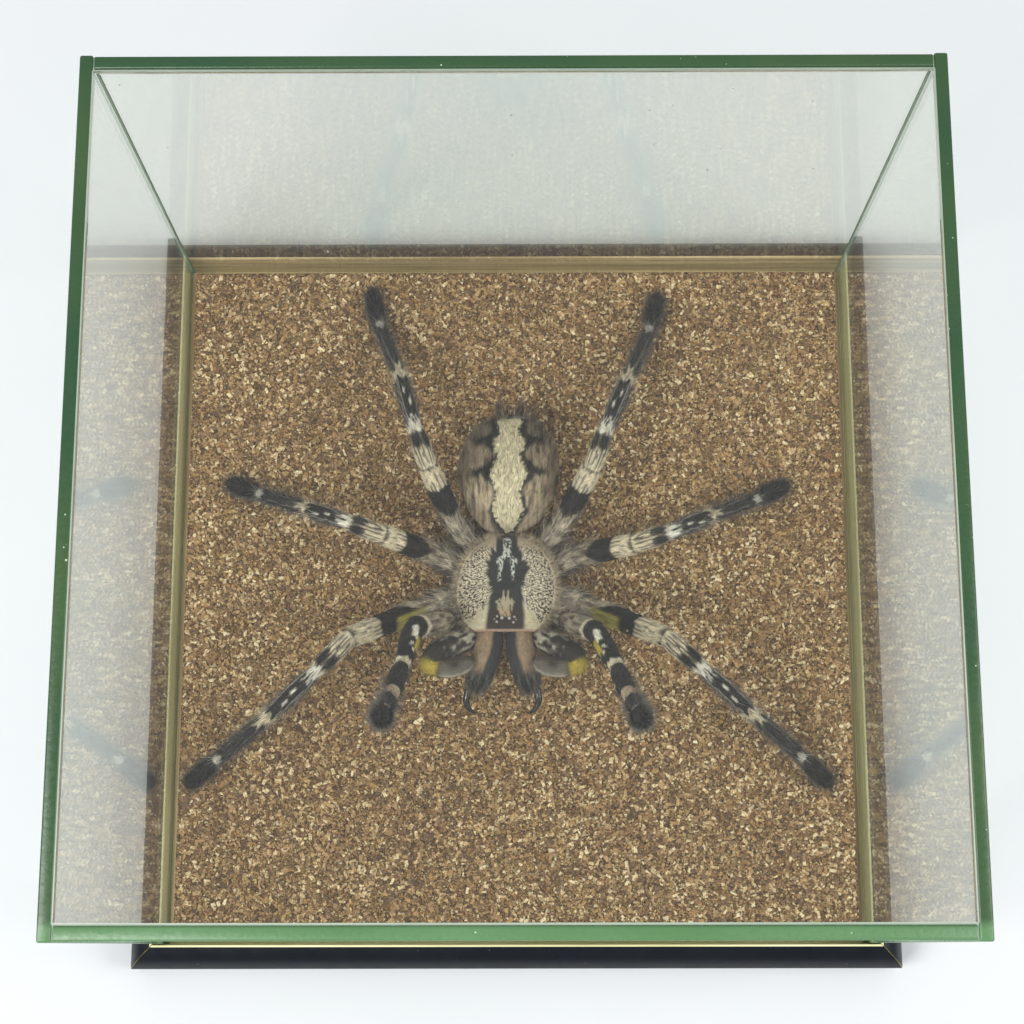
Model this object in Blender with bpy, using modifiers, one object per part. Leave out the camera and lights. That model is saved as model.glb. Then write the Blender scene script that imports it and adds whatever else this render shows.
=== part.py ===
"""Tarantula specimen on a cork floor, under a glass case on a black moulded plinth.

Metres, +Z up. The origin is the middle of the plinth's underside. The head faces -Y, the front.
Left is -X and right is +X, as seen from the front.
"""

import math

import bmesh
import bpy
from mathutils import Matrix, Vector

MM = 0.001
GAP = 0.3 * MM  # clearance between touching pieces

# Case
CASE_WIDTH = 190 * MM  # outside of the glass, square
GLASS = 3 * MM
CORK_TOP = 12 * MM
RIM_TOP = CORK_TOP + 130 * MM
WALL_FOOT = 4 * MM  # height of the ledge that the walls stand on
CORK_THICKNESS = 3.7 * MM
CORK_HALF = 90.1 * MM
BOARD_HALF = 91.5 * MM
EDGE_ROUND = 0.5 * MM  # worn edge of the glass

# Plinth moulding
LEDGE_IN = BOARD_HALF + GAP
LIP_IN = CASE_WIDTH / 2 + GAP
LIP_OUT = 95.8 * MM
LIP_TOP = CORK_TOP + 3 * MM
PLINTH_HALF = 101.5 * MM
SHOULDER = CORK_TOP - 2.1 * MM  # where the sloped face turns down
SLOPE_STEPS = 6
SLOPE_BULGE = 0.9 * MM

# Spider, measured from the middle of the carapace, at the height of the cork
SPIDER_X = -2 * MM
SPIDER_Y = -1 * MM
TUBE_SIDES = 2  # bevel resolution, which makes an eight-sided tube

# Legs: root is the trochanter's place for the right leg, (x, y, z). Segments run femur, patella,
# tibia, metatarsus, tarsus. A heading is the angle forward (-) or backward (+) of straight out to
# the side, and a rise is the angle above level. Angles are in degrees and lengths in millimetres.
LEGS = {
    1: {
        "coxa_angle": -35,
        "root": (15.7, -10.2, 13),
        "lengths": (25, 15, 21, 17, 12),
        "rises": (67, 42, 60, 72, 75),
        "left": (-36, -78, -81, -85, -98),
        "right": (-46, -66, -77, -81, -91),
    },
    2: {
        "coxa_angle": -12,
        "root": (19.8, -6.1, 12),
        "lengths": (27, 12, 21.5, 19, 10),
        "rises": (29, -5, -30, -26, -14),
        "left": (-27, -45, -38, -36, -39),
        "right": (-27, -41, -37, -38, -43),
    },
    3: {
        "coxa_angle": 18,
        "root": (18.3, 7.3, 11),
        "lengths": (18.5, 10, 17, 16.5, 9.5),
        "rises": (36, 0, -35, -27, -15),
        "left": (14, 20, 26, 23, 23),
        "right": (4, 18, 29, 25, 28),
    },
    4: {
        "coxa_angle": 52,
        "root": (13.5, 14.4, 11),
        "lengths": (20.5, 11, 22, 20, 11),
        "rises": (36, 5, -30, -26, -14),
        "left": (63, 71, 75, 69, 78),
        "right": (58, 70, 69, 68, 78),
    },
}
# Radii in millimetres at the start and at the thickest place of each segment
SEGMENT_START = (2.5, 2.4, 2.1, 1.7, 1.5)
SEGMENT_THICK = (3.1, 2.8, 2.5, 2.0, 2.0)
THICK_AT = 0.45
TARSUS_END = 1.2
COXA_START = 10.6
COXA_START_HEIGHT = 8.2
COXA_END_HEIGHT = 9.0
COXA_RADIUS = 2.1

PALP_POINTS = (
    (6.4, -12.2, 8.4),
    (8.6, -13.5, 10.5),
    (10.6, -16.2, 14.5),
    (14.4, -18.6, 18),
    (18.4, -20.6, 20.4),
    (20.4, -22.9, 20.6),
    (16.4, -23.9, 20.2),
    (12.2, -23.4, 19.6),
    (9.6, -22.7, 19),
)
PALP_RADII = (1.7, 1.9, 1.9, 2.3, 2.5, 2.3, 2.3, 2.4, 1.7)
CHELICERA_POINTS = ((4.1, -15.6, 13.9), (4.3, -18, 14.8), (5, -21.5, 15.3), (6.2, -25.6, 15), (7.5, -29, 14.1))
CHELICERA_RADII = (3.6, 3.7, 3.7, 3.3, 2.4)
FANG_POINTS = ((9.2, -29.9, 13.6), (9.5, -31.8, 13.1), (8.6, -33.7, 12.2), (6.6, -34.8, 11))
FANG_RADII = (1.0, 0.95, 0.6, 0.12)
SPINNERET_POINTS = ((2.2, 45.3, 10), (2.7, 48, 9.8), (3.1, 50.8, 9.2))
SPINNERET_RADII = (1.3, 1.1, 0.5)

# Turned outline of the cephalothorax, (radius, height) from the top down
CEPHALOTHORAX_OUTLINE = (
    (0, 20.4),
    (4.5, 20.1),
    (8.6, 18.7),
    (11.6, 16.3),
    (13.2, 13.9),
    (13.5, 12.6),
    (13.0, 11.9),
    (10.2, 11.4),
    (9.9, 7),
    (8, 5.1),
    (0, 4.6),
)
CEPHALOTHORAX_SHIFT = -0.6
CEPHALOTHORAX_STEPS = 32
HEAD_NARROWING = 0.12  # share of its width that the shield loses at the front

ABDOMEN_MIDDLE = (0, 29.5, 13)
ABDOMEN_HALF = (14.1, 16, 10.3)
ABDOMEN_SEGMENTS = 28
ABDOMEN_RINGS = 18

COLOURS = {
    "black_lacquer": ((0.012, 0.014, 0.018, 1), 0.35),
    "raw_wood": ((0.55, 0.43, 0.26, 1), 0.7),
    "cork": ((0.33, 0.21, 0.11, 1), 0.9),
    "clear_glass": ((0.75, 0.9, 0.82, 1), 0.02),
    "carapace": ((0.45, 0.38, 0.29, 1), 0.6),
    "abdomen_fur": ((0.2, 0.16, 0.13, 1), 0.85),
    "leg_fur": ((0.1, 0.09, 0.08, 1), 0.8),
    "jaw_fur": ((0.22, 0.15, 0.1, 1), 0.7),
    "fang_horn": ((0.015, 0.012, 0.01, 1), 0.2),
}


def clear_scene():
    for old in list(bpy.data.objects):
        bpy.data.objects.remove(old, do_unlink=True)


def material(name):
    found = bpy.data.materials.get(name)
    if found:
        return found
    colour, roughness = COLOURS[name]
    made = bpy.data.materials.new(name)
    made.use_nodes = True
    shader = made.node_tree.nodes["Principled BSDF"]
    shader.inputs["Base Color"].default_value = colour
    shader.inputs["Roughness"].default_value = roughness
    shader.inputs["Metallic"].default_value = 0
    if name == "clear_glass":
        shader.inputs["Transmission Weight"].default_value = 1
    return made


def add(name, data, finish, parent=None):
    piece = bpy.data.objects.new(name, data)
    data.materials.append(material(finish))
    PARTS.objects.link(piece)
    piece.parent = parent
    return piece


def box(name, low, high, finish):
    """A block between two corners, its edges slightly rounded if it is glass."""
    mesh = bpy.data.meshes.new(name)
    shape = bmesh.new()
    bmesh.ops.create_cube(shape, size=1)
    size = Vector(high) - Vector(low)
    bmesh.ops.scale(shape, vec=size, verts=shape.verts)
    shape.to_mesh(mesh)
    shape.free()
    piece = add(name, mesh, finish)
    piece.location = (Vector(low) + Vector(high)) / 2
    return piece


def glass_pane(name, low, high):
    pane = box(name, low, high, "clear_glass")
    edge = pane.modifiers.new("worn edge", "BEVEL")
    edge.width = EDGE_ROUND
    edge.segments = 2
    return pane


def moulding_outline():
    """(distance from the middle, height) round the strip's section."""
    outline = [
        (LEDGE_IN, 0),
        (PLINTH_HALF, 0),
        (PLINTH_HALF, SHOULDER),
    ]
    run = LIP_OUT - PLINTH_HALF
    climb = LIP_TOP - SHOULDER
    slant = math.hypot(run, climb)
    for step in range(1, SLOPE_STEPS):
        share = step / SLOPE_STEPS
        swell = SLOPE_BULGE * math.sin(math.pi * share)
        out = PLINTH_HALF + run * share + swell * climb / slant
        height = SHOULDER + climb * share - swell * run / slant
        outline.append((out, height))
    outline.append((LIP_OUT, LIP_TOP))
    outline.append((LIP_IN, LIP_TOP))
    outline.append((LIP_IN, WALL_FOOT))
    outline.append((LEDGE_IN, WALL_FOOT))
    return outline


def moulding(name, turn):
    """One mitred strip, made at the front and then turned about the middle."""
    mesh = bpy.data.meshes.new(name)
    shape = bmesh.new()
    section = [shape.verts.new((0, -out, height)) for out, height in moulding_outline()]
    face = shape.faces.new(section)
    grown = bmesh.ops.extrude_face_region(shape, geom=[face])
    far = [item for item in grown["geom"] if isinstance(item, bmesh.types.BMVert)]
    for corner in far:
        corner.co.x = -corner.co.y - GAP / 2
    for corner in section:
        corner.co.x = corner.co.y + GAP / 2
    bmesh.ops.recalc_face_normals(shape, faces=shape.faces)
    shape.to_mesh(mesh)
    shape.free()
    strip = add(name, mesh, "black_lacquer")
    strip.rotation_euler.z = turn
    return strip


def build_case():
    outer = CASE_WIDTH / 2
    inner = outer - GLASS
    foot = WALL_FOOT + GAP
    cork_low = CORK_TOP - CORK_THICKNESS
    board_top = cork_low - GAP
    box("base_board", (-BOARD_HALF, -BOARD_HALF, 0), (BOARD_HALF, BOARD_HALF, board_top), "raw_wood")
    box("cork_sheet", (-CORK_HALF, -CORK_HALF, cork_low), (CORK_HALF, CORK_HALF, CORK_TOP), "cork")
    for count, side in enumerate(("front", "right", "back", "left")):
        moulding("moulding_" + side, count * math.pi / 2)
    glass_pane("glass_left", (-outer, -outer, foot), (-inner, outer, RIM_TOP))
    glass_pane("glass_right", (inner, -outer, foot), (outer, outer, RIM_TOP))
    between = inner - GAP
    end = outer - GAP
    glass_pane("glass_front", (-between, -end, foot), (between, GLASS - end, RIM_TOP))
    glass_pane("glass_back", (-between, end - GLASS, foot), (between, end, RIM_TOP))
    lid = between - GAP
    glass_pane("glass_top", (-between, -lid, RIM_TOP - GLASS), (between, lid, RIM_TOP))


def tube(name, points, radii, finish):
    """A capped tube along points, in millimetres, with its own radius at each."""
    curve = bpy.data.curves.new(name, "CURVE")
    curve.dimensions = "3D"
    curve.bevel_depth = MM
    curve.bevel_resolution = TUBE_SIDES
    curve.use_fill_caps = True
    line = curve.splines.new("POLY")
    line.points.add(len(points) - 1)
    for knot, place, radius in zip(line.points, points, radii):
        knot.co = (place[0] * MM, place[1] * MM, place[2] * MM, 1)
        knot.radius = radius
    return add(name, curve, finish, SPIDER)


def mirrored(points, side):
    return [(x * side, y, z) for x, y, z in points]


def leg_path(leg, side_name):
    """The points and radii of a leg, from under the shield to the toe, on the right side."""
    angle = math.radians(leg["coxa_angle"])
    start = (COXA_START * math.cos(angle), COXA_START * math.sin(angle), COXA_START_HEIGHT)
    root = Vector(leg["root"])
    middle = (Vector(start) + root) / 2
    points = [start, (middle.x, middle.y, COXA_END_HEIGHT)]
    radii = [COXA_RADIUS, COXA_RADIUS]
    place = root
    for part in range(len(leg["lengths"])):
        length = leg["lengths"][part]
        rise = math.radians(leg["rises"][part])
        heading = math.radians(leg[side_name][part])
        level = math.cos(rise)
        way = Vector((level * math.cos(heading), level * math.sin(heading), math.sin(rise)))
        points.append(tuple(place))
        radii.append(SEGMENT_START[part])
        points.append(tuple(place + way * length * THICK_AT))
        radii.append(SEGMENT_THICK[part])
        place = place + way * length
    points.append(tuple(place))
    radii.append(TARSUS_END)
    return points, radii


def build_legs():
    for side_name, side in (("left", -1), ("right", 1)):
        for number, leg in LEGS.items():
            points, radii = leg_path(leg, side_name)
            tube(f"leg_{number}_{side_name}", mirrored(points, side), radii, "leg_fur")


def build_mouthparts():
    for side_name, side in (("left", -1), ("right", 1)):
        tube("palp_" + side_name, mirrored(PALP_POINTS, side), PALP_RADII, "leg_fur")
        tube("chelicera_" + side_name, mirrored(CHELICERA_POINTS, side), CHELICERA_RADII, "jaw_fur")
        tube("fang_" + side_name, mirrored(FANG_POINTS, side), FANG_RADII, "fang_horn")
        tube("spinneret_" + side_name, mirrored(SPINNERET_POINTS, side), SPINNERET_RADII, "leg_fur")


def build_cephalothorax():
    """The shield and the plate under it, turned and then narrowed towards the head."""
    mesh = bpy.data.meshes.new("cephalothorax")
    shape = bmesh.new()
    profile = [shape.verts.new((r * MM, 0, z * MM)) for r, z in CEPHALOTHORAX_OUTLINE]
    edges = [shape.edges.new(pair) for pair in zip(profile, profile[1:])]
    bmesh.ops.spin(
        shape,
        geom=profile + edges,
        axis=(0, 0, 1),
        cent=(0, 0, 0),
        angle=2 * math.pi,
        steps=CEPHALOTHORAX_STEPS,
        use_merge=True,
    )
    bmesh.ops.remove_doubles(shape, verts=shape.verts, dist=0.01 * MM)
    reach = max(r for r, z in CEPHALOTHORAX_OUTLINE) * MM
    for corner in shape.verts:
        forward = max(0, -corner.co.y / reach)
        corner.co.x *= 1 - HEAD_NARROWING * forward
    bmesh.ops.recalc_face_normals(shape, faces=shape.faces)
    shape.to_mesh(mesh)
    shape.free()
    shield = add("cephalothorax", mesh, "carapace", SPIDER)
    shield.location.y = CEPHALOTHORAX_SHIFT * MM


def build_abdomen():
    mesh = bpy.data.meshes.new("abdomen")
    shape = bmesh.new()
    bmesh.ops.create_uvsphere(shape, u_segments=ABDOMEN_SEGMENTS, v_segments=ABDOMEN_RINGS, radius=1)
    bmesh.ops.rotate(shape, matrix=Matrix.Rotation(math.pi / 2, 3, "X"), verts=shape.verts)
    half = Vector(ABDOMEN_HALF) * MM
    bmesh.ops.scale(shape, vec=half, verts=shape.verts)
    shape.to_mesh(mesh)
    shape.free()
    body = add("abdomen", mesh, "abdomen_fur", SPIDER)
    body.location = Vector(ABDOMEN_MIDDLE) * MM


clear_scene()
PARTS = bpy.data.collections.new("tarantula_case")
bpy.context.scene.collection.children.link(PARTS)
SPIDER = bpy.data.objects.new("spider", None)
SPIDER.location = (SPIDER_X, SPIDER_Y, CORK_TOP)
PARTS.objects.link(SPIDER)
build_case()
build_cephalothorax()
build_abdomen()
build_mouthparts()
build_legs()
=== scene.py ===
import itertools
import math

import bmesh
import bpy
import numpy as np
from mathutils import Matrix, Vector


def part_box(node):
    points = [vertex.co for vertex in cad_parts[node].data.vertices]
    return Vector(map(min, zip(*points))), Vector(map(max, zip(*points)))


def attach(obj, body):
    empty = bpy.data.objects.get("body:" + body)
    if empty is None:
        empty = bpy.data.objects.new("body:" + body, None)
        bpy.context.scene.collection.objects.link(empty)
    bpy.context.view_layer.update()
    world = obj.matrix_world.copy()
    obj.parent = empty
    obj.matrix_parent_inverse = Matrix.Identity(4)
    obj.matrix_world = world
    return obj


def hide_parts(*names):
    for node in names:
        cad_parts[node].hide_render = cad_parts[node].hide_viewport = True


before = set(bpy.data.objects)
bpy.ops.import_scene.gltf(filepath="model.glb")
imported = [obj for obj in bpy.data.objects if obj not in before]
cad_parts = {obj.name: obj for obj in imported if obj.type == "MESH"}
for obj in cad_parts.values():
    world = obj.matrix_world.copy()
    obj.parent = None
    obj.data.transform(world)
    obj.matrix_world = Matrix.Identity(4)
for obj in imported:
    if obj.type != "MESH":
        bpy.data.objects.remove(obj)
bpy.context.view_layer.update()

# Lengths below are in millimetres unless the name says otherwise.
MM = 0.001
BODY = "root"

# The spider's own frame, over the middle of the cork: x to the right as seen from the front,
# y to its rear.
SPIDER_X = -2.0
SPIDER_Y = -1.0
CORK_LOW, CORK_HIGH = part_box("cork_sheet")
SPIDER_PLACE = np.array((SPIDER_X * MM, SPIDER_Y * MM, CORK_HIGH.z))

CAMERA_PLACE = (0.001175, -0.095822, 0.539430)
CAMERA_TURN = (
    (0.9999896, 0.0022962, 0.0039501),
    (-0.0013875, 0.9763261, -0.2162993),
    (-0.0043532, 0.2162915, 0.9763191),
)
CAMERA_LENS = 68.97
CAMERA_SENSOR = 36.0
ROOM_LIGHT = 0.53
# Each lamp's name, place, width and power
LAMPS = (
    ("soft_lamp_left", (-0.62, -0.42, 0.95), 0.55, 8.7),
    ("soft_lamp_right", (0.75, -0.15, 0.8), 0.5, 4.5),
)
LAMP_COLOUR = (1.0, 0.982, 0.968)
FLOOR_REACH = 1.6
SQUARE = ((-1, -1), (1, -1), (1, 1), (-1, 1))
FLOOR_DROP = 0.2
GLASS_IOR = 1.46


def tint(red, green, blue):
    """A paint colour on the 0 to 255 scale, as the linear values that a shader takes."""
    linear = []
    for value in (red, green, blue):
        share = value / 255
        linear.append(share / 12.92 if share <= 0.04045 else ((share + 0.055) / 1.055) ** 2.4)
    return tuple(linear)


# The tarantula's colours
BLACK = tint(30, 29, 29)
SLATE = tint(42, 41, 42)
CREAM = tint(226, 212, 184)
WHITE = tint(236, 230, 214)
GREY_WHITE = tint(196, 190, 178)
BEIGE = tint(172, 158, 136)
GREY = tint(118, 111, 103)
YELLOW = tint(204, 184, 66)
DARK_BROWN = tint(58, 46, 40)
BROWN = tint(128, 110, 92)
TAN = tint(172, 150, 126)
ROSE_TAN = tint(196, 162, 142)


# ---------------------------------------------------------------- numbers that vary smoothly

def smooth(low, high, value):
    """0 below low, 1 above high and an easy curve between them."""
    share = np.clip((value - low) / (high - low), 0, 1)
    return share * share * (3 - 2 * share)


def cell_number(cells, seed):
    """A number from 0 to 1 for each whole-numbered cell, the same on every run."""
    whole = cells.astype(np.int64)
    mixed = whole[..., 0] * 73856093 ^ whole[..., 1] * 19349663 ^ whole[..., 2] * 83492791
    mixed = (mixed ^ (seed * 2654435761)) & 0xFFFFFFFF
    mixed = ((mixed ^ (mixed >> 15)) * 2246822519) & 0xFFFFFFFF
    mixed = ((mixed ^ (mixed >> 13)) * 3266489917) & 0xFFFFFFFF
    return ((mixed ^ (mixed >> 16)) & 0xFFFFFF) / float(0xFFFFFF)


def mottle(first, second, third=0.0, seed=1):
    """Soft random variation from 0 to 1 over three directions, one cell a unit."""
    first, second, third = np.broadcast_arrays(first, second, third)
    points = np.stack((first, second, third), axis=-1).astype(float)
    base = np.floor(points)
    part = points - base
    part = part * part * (3 - 2 * part)
    total = np.zeros(points.shape[:-1])
    for corner in itertools.product((0, 1), repeat=3):
        corner = np.array(corner)
        share = np.prod(np.where(corner == 1, part, 1 - part), axis=-1)
        total = total + share * cell_number(base + corner, seed)
    return total


def paint(coat, colour, amount):
    """Lays a colour over the coat, as thickly as amount says at each point."""
    amount = np.clip(amount, 0, 1)[..., None]
    return coat * (1 - amount) + np.array(colour) * amount


def plain_coat(shape, colour):
    """A coat of one colour."""
    return np.ones((*shape, 3)) * np.array(colour)


# ---------------------------------------------------------------- node trees

class Bench:
    """Lays nodes in a tree. An input takes a plain value or another node's socket."""

    def __init__(self, tree):
        self.tree = tree

    def add(self, kind, inputs=None, **settings):
        node = self.tree.nodes.new(kind)
        for setting, value in settings.items():
            setattr(node, setting, value)
        for place, value in (inputs or {}).items():
            socket = node.inputs[place]
            if isinstance(value, bpy.types.NodeSocket):
                self.tree.links.new(value, socket)
            else:
                socket.default_value = value
        return node

    def link(self, source, target):
        self.tree.links.new(source, target)

    def noise(self, vector, scale, detail):
        """Soft noise from 0 to 1."""
        inputs = {"Vector": vector, "Scale": scale, "Detail": detail}
        return self.add("ShaderNodeTexNoise", inputs).outputs["Fac"]

    def scaled(self, vector, scale):
        return self.add("ShaderNodeVectorMath", {0: vector, "Scale": scale}, operation="SCALE").outputs[0]

    def stretched(self, vector, scale):
        return self.add("ShaderNodeMapping", {"Vector": vector, "Scale": scale}).outputs[0]

    def vector(self, operation, first, second):
        return self.add("ShaderNodeVectorMath", {0: first, 1: second}, operation=operation).outputs[0]

    def kept(self, name):
        """A value that the mesh keeps at its points."""
        return self.add("ShaderNodeAttribute", attribute_name=name).outputs["Fac"]

    def math(self, operation, first, second=0.0):
        return self.add("ShaderNodeMath", {0: first, 1: second}, operation=operation).outputs[0]

    def mix(self, share, first, second, blend="MIX"):
        """The blend of two colours."""
        inputs = {0: share}
        for place, colour in ((6, first), (7, second)):
            inputs[place] = colour if isinstance(colour, bpy.types.NodeSocket) else (*colour[:3], 1)
        return self.add("ShaderNodeMix", inputs, data_type="RGBA", blend_type=blend).outputs[2]

    def spread(self, value, low, high, new_low=0.0, new_high=1.0):
        """Stretches a value's range to a new one and cuts off what lies past it."""
        node = self.add(
            "ShaderNodeMapRange",
            {"Value": value, "From Min": low, "From Max": high, "To Min": new_low, "To Max": new_high},
        )
        return node.outputs["Result"]


def effect(name, sockets_in, sockets_out, tree_kind="ShaderNodeTree"):
    """An empty node group with its inputs and outputs, and the nodes at its two ends."""
    tree = bpy.data.node_groups.new(name, tree_kind)
    for label, kind, value in sockets_in:
        socket = tree.interface.new_socket(label, in_out="INPUT", socket_type=kind)
        if value is not None:
            socket.default_value = value
    for label, kind in sockets_out:
        tree.interface.new_socket(label, in_out="OUTPUT", socket_type=kind)
    start = tree.nodes.new("NodeGroupInput")
    end = tree.nodes.new("NodeGroupOutput")
    return tree, Bench(tree), start, end


VALUE, COLOUR, VECTOR = "NodeSocketFloat", "NodeSocketColor", "NodeSocketVector"


def make_streaks():
    """Fine hair lines that run along the first direction of the vector."""
    tree, bench, start, end = effect(
        "hair_streaks",
        (
            ("Vector", VECTOR, None),
            ("Base", COLOUR, (0.5, 0.5, 0.5, 1)),
            ("Lines per millimetre", VALUE, 3.0),
            ("Line length", VALUE, 1.2),
            ("Contrast", VALUE, 0.5),
        ),
        (("Colour", COLOUR), ("Height", VALUE)),
    )
    parts = bench.add("ShaderNodeSeparateXYZ", {0: start.outputs["Vector"]})
    along = bench.math("DIVIDE", parts.outputs[0], start.outputs["Line length"])
    across = bench.math("MULTIPLY", parts.outputs[1], start.outputs["Lines per millimetre"])
    bend = bench.noise(start.outputs["Vector"], 0.6, 1.0)
    swerve = bench.spread(bend, 0.3, 0.7, -1.0, 1.0)
    across = bench.math("ADD", across, swerve)
    drawn = bench.add("ShaderNodeCombineXYZ", {0: along, 1: across, 2: parts.outputs[2]})
    lines = bench.add(
        "ShaderNodeTexNoise", {"Vector": drawn.outputs[0], "Scale": 1.0, "Detail": 3.0, "Roughness": 0.65}
    )
    height = bench.spread(lines.outputs["Fac"], 0.3, 0.7)
    centred = bench.math("SUBTRACT", height, 0.5)
    push = bench.math("MULTIPLY", centred, start.outputs["Contrast"])
    gain = bench.math("ADD", push, 1.0)
    gained = bench.scaled(start.outputs["Base"], gain)
    bench.link(gained, end.inputs["Colour"])
    bench.link(height, end.inputs["Height"])
    return tree


def make_dust():
    """Loose specks of dust lying on a finish, as a mask."""
    tree, bench, start, end = effect(
        "dust_specks",
        (("Vector", VECTOR, None), ("Specks per centimetre", VALUE, 3.0), ("Size", VALUE, 0.12)),
        (("Mask", VALUE),),
    )
    scale = bench.math("MULTIPLY", start.outputs["Specks per centimetre"], 100.0)
    cells = bench.add(
        "ShaderNodeTexVoronoi", {"Vector": start.outputs["Vector"], "Scale": scale, "Randomness": 1.0}
    )
    parts = bench.add("ShaderNodeSeparateColor", {0: cells.outputs["Color"]})
    reach = bench.math("MULTIPLY", parts.outputs[0], start.outputs["Size"])
    reach = bench.math("MULTIPLY", reach, parts.outputs[1])
    near = bench.math("LESS_THAN", cells.outputs["Distance"], reach)
    bench.link(near, end.inputs["Mask"])
    return tree


def make_grain():
    """Wood grain that runs along the first direction of the vector, given in millimetres."""
    tree, bench, start, end = effect(
        "wood_grain",
        (
            ("Vector", VECTOR, None),
            ("Light", COLOUR, (0.6, 0.5, 0.3, 1)),
            ("Dark", COLOUR, (0.3, 0.2, 0.1, 1)),
        ),
        (("Colour", COLOUR), ("Height", VALUE)),
    )
    rings = bench.noise(bench.stretched(start.outputs["Vector"], (0.012, 0.62, 0.62)), 1.0, 4.0)
    pore = bench.noise(bench.stretched(start.outputs["Vector"], (0.06, 2.6, 2.6)), 1.0, 2.0)
    band = bench.spread(rings, 0.36, 0.64)
    fine = bench.spread(pore, 0.35, 0.7)
    both = bench.math("MULTIPLY", fine, 0.35)
    both = bench.math("ADD", bench.math("MULTIPLY", band, 0.65), both)
    colour = bench.mix(both, start.outputs["Light"], start.outputs["Dark"])
    bench.link(colour, end.inputs["Colour"])
    bench.link(both, end.inputs["Height"])
    return tree


STREAKS = make_streaks()
DUST = make_dust()
GRAIN = make_grain()


def finish(name):
    """A new material, its bench and its Principled shader."""
    made = bpy.data.materials.new(name)
    made.use_nodes = True
    shader = made.node_tree.nodes["Principled BSDF"]
    return made, Bench(made.node_tree), shader


def dress(bench, shader, colour, rough):
    """Gives a shader its colour and its roughness."""
    bench.link(colour, shader.inputs["Base Color"])
    bench.link(rough, shader.inputs["Roughness"])


def own_place(bench):
    return bench.add("ShaderNodeTexCoord").outputs["Object"]


def own_layout(bench, name="lie"):
    return bench.add("ShaderNodeUVMap", uv_map=name).outputs[0]


def use(bench, group, inputs):
    """Puts a shared effect in a material with its own values."""
    return bench.add("ShaderNodeGroup", inputs, node_tree=group)


def raise_surface(bench, shader, height, depth):
    bump = bench.add("ShaderNodeBump", {"Height": height, "Distance": depth * MM, "Strength": 1.0})
    bench.link(bump.outputs[0], shader.inputs["Normal"])


# ---------------------------------------------------------------- finishes of the case

def clear_glass():
    made, bench, shader = finish("pane_glass")
    place = own_place(bench)
    cloud = bench.noise(place, 18.0, 3.0)
    hue = bench.mix(cloud, tint(254, 255, 252), tint(250, 253, 249))
    specks = use(bench, DUST, {"Vector": place, "Specks per centimetre": 1.6, "Size": 0.07})
    rough = bench.math("MULTIPLY", specks.outputs["Mask"], 0.6)
    dress(bench, shader, hue, rough)
    shader.inputs["Transmission Weight"].default_value = 1.0
    shader.inputs["IOR"].default_value = GLASS_IOR
    path = bench.add("ShaderNodeLightPath")
    passed = bench.math("MAXIMUM", path.outputs["Is Shadow Ray"], path.outputs["Is Diffuse Ray"])
    through = bench.add("ShaderNodeBsdfTransparent", {"Color": (0.95, 0.965, 0.952, 1)})
    choice = bench.add("ShaderNodeMixShader", {0: passed, 1: shader.outputs[0], 2: through.outputs[0]})
    out = bench.tree.nodes["Material Output"]
    bench.link(choice.outputs[0], out.inputs["Surface"])
    return made


def clouded(name, scale, detail, first, second, rough, depth=0.0):
    """A finish of two near colours in soft clouds, which its roughness follows."""
    made, bench, shader = finish(name)
    cloud = bench.noise(own_place(bench), scale, detail)
    dress(bench, shader, bench.mix(cloud, first, second), bench.spread(cloud, 0.3, 0.7, *rough))
    if depth:
        raise_surface(bench, shader, cloud, depth)
    return made


def ground_edge():
    """The glass's cut edge: deep green, brighter at the front where light comes out of it."""
    made, bench, shader = finish("ground_edge")
    place = own_place(bench)
    parts = bench.add("ShaderNodeSeparateXYZ", {0: place})
    forward = bench.spread(parts.outputs[1], -0.0905, -0.0925)
    cloud = bench.noise(bench.stretched(place, (22, 22, 22)), 1.0, 2.0)
    share = bench.spread(cloud, 0.35, 0.65)
    back = bench.mix(share, tint(44, 80, 52), tint(62, 92, 54))
    front = bench.mix(share, tint(86, 130, 82), tint(98, 140, 96))
    body = bench.mix(forward, back, front)
    specks = use(bench, DUST, {"Vector": place, "Specks per centimetre": 4.0, "Size": 0.12})
    body = bench.mix(specks.outputs["Mask"], body, tint(190, 214, 190))
    chatter = bench.noise(place, 900.0, 2.0)
    rough = bench.spread(chatter, 0.3, 0.7, 0.22, 0.38)
    dress(bench, shader, body, rough)
    raise_surface(bench, shader, chatter, 0.05)
    shader.inputs["IOR"].default_value = 1.5
    return made


def black_lacquer():
    made, bench, shader = finish("lacquer_gloss")
    place = own_place(bench)
    cloud = bench.noise(place, 55.0, 3.0)
    body = bench.mix(cloud, tint(5, 12, 20), tint(12, 21, 30))
    specks = use(bench, DUST, {"Vector": place, "Specks per centimetre": 6.0, "Size": 0.1})
    body = bench.mix(specks.outputs["Mask"], body, tint(120, 122, 122))
    shader.inputs["Specular IOR Level"].default_value = 0.3
    smear = bench.noise(place, 240.0, 2.0)
    rough = bench.spread(smear, 0.3, 0.7, 0.26, 0.42)
    dress(bench, shader, body, rough)
    raise_surface(bench, shader, smear, 0.03)
    return made


def raw_wood():
    made, bench, shader = finish("raw_wood")
    lie = own_layout(bench)
    parts = bench.add("ShaderNodeSeparateXYZ", {0: own_place(bench)})
    # Painted light and shade on one wood: the side strips are painted near white-yellow to light the shaded
    # rebate, and the back strip is painted darker and browner.
    shaded_back_strip = bench.spread(parts.outputs[1], 0.0945, 0.0952)
    light = bench.mix(shaded_back_strip, tint(255, 254, 206), tint(240, 212, 164))
    dark = bench.mix(shaded_back_strip, tint(210, 206, 146), tint(150, 122, 80))
    grain = use(bench, GRAIN, {"Vector": lie, "Light": light, "Dark": dark})
    rough = bench.spread(grain.outputs["Height"], 0.0, 1.0, 0.55, 0.8)
    dress(bench, shader, grain.outputs["Colour"], rough)
    raise_surface(bench, shader, grain.outputs["Height"], 0.12)
    return made


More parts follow.
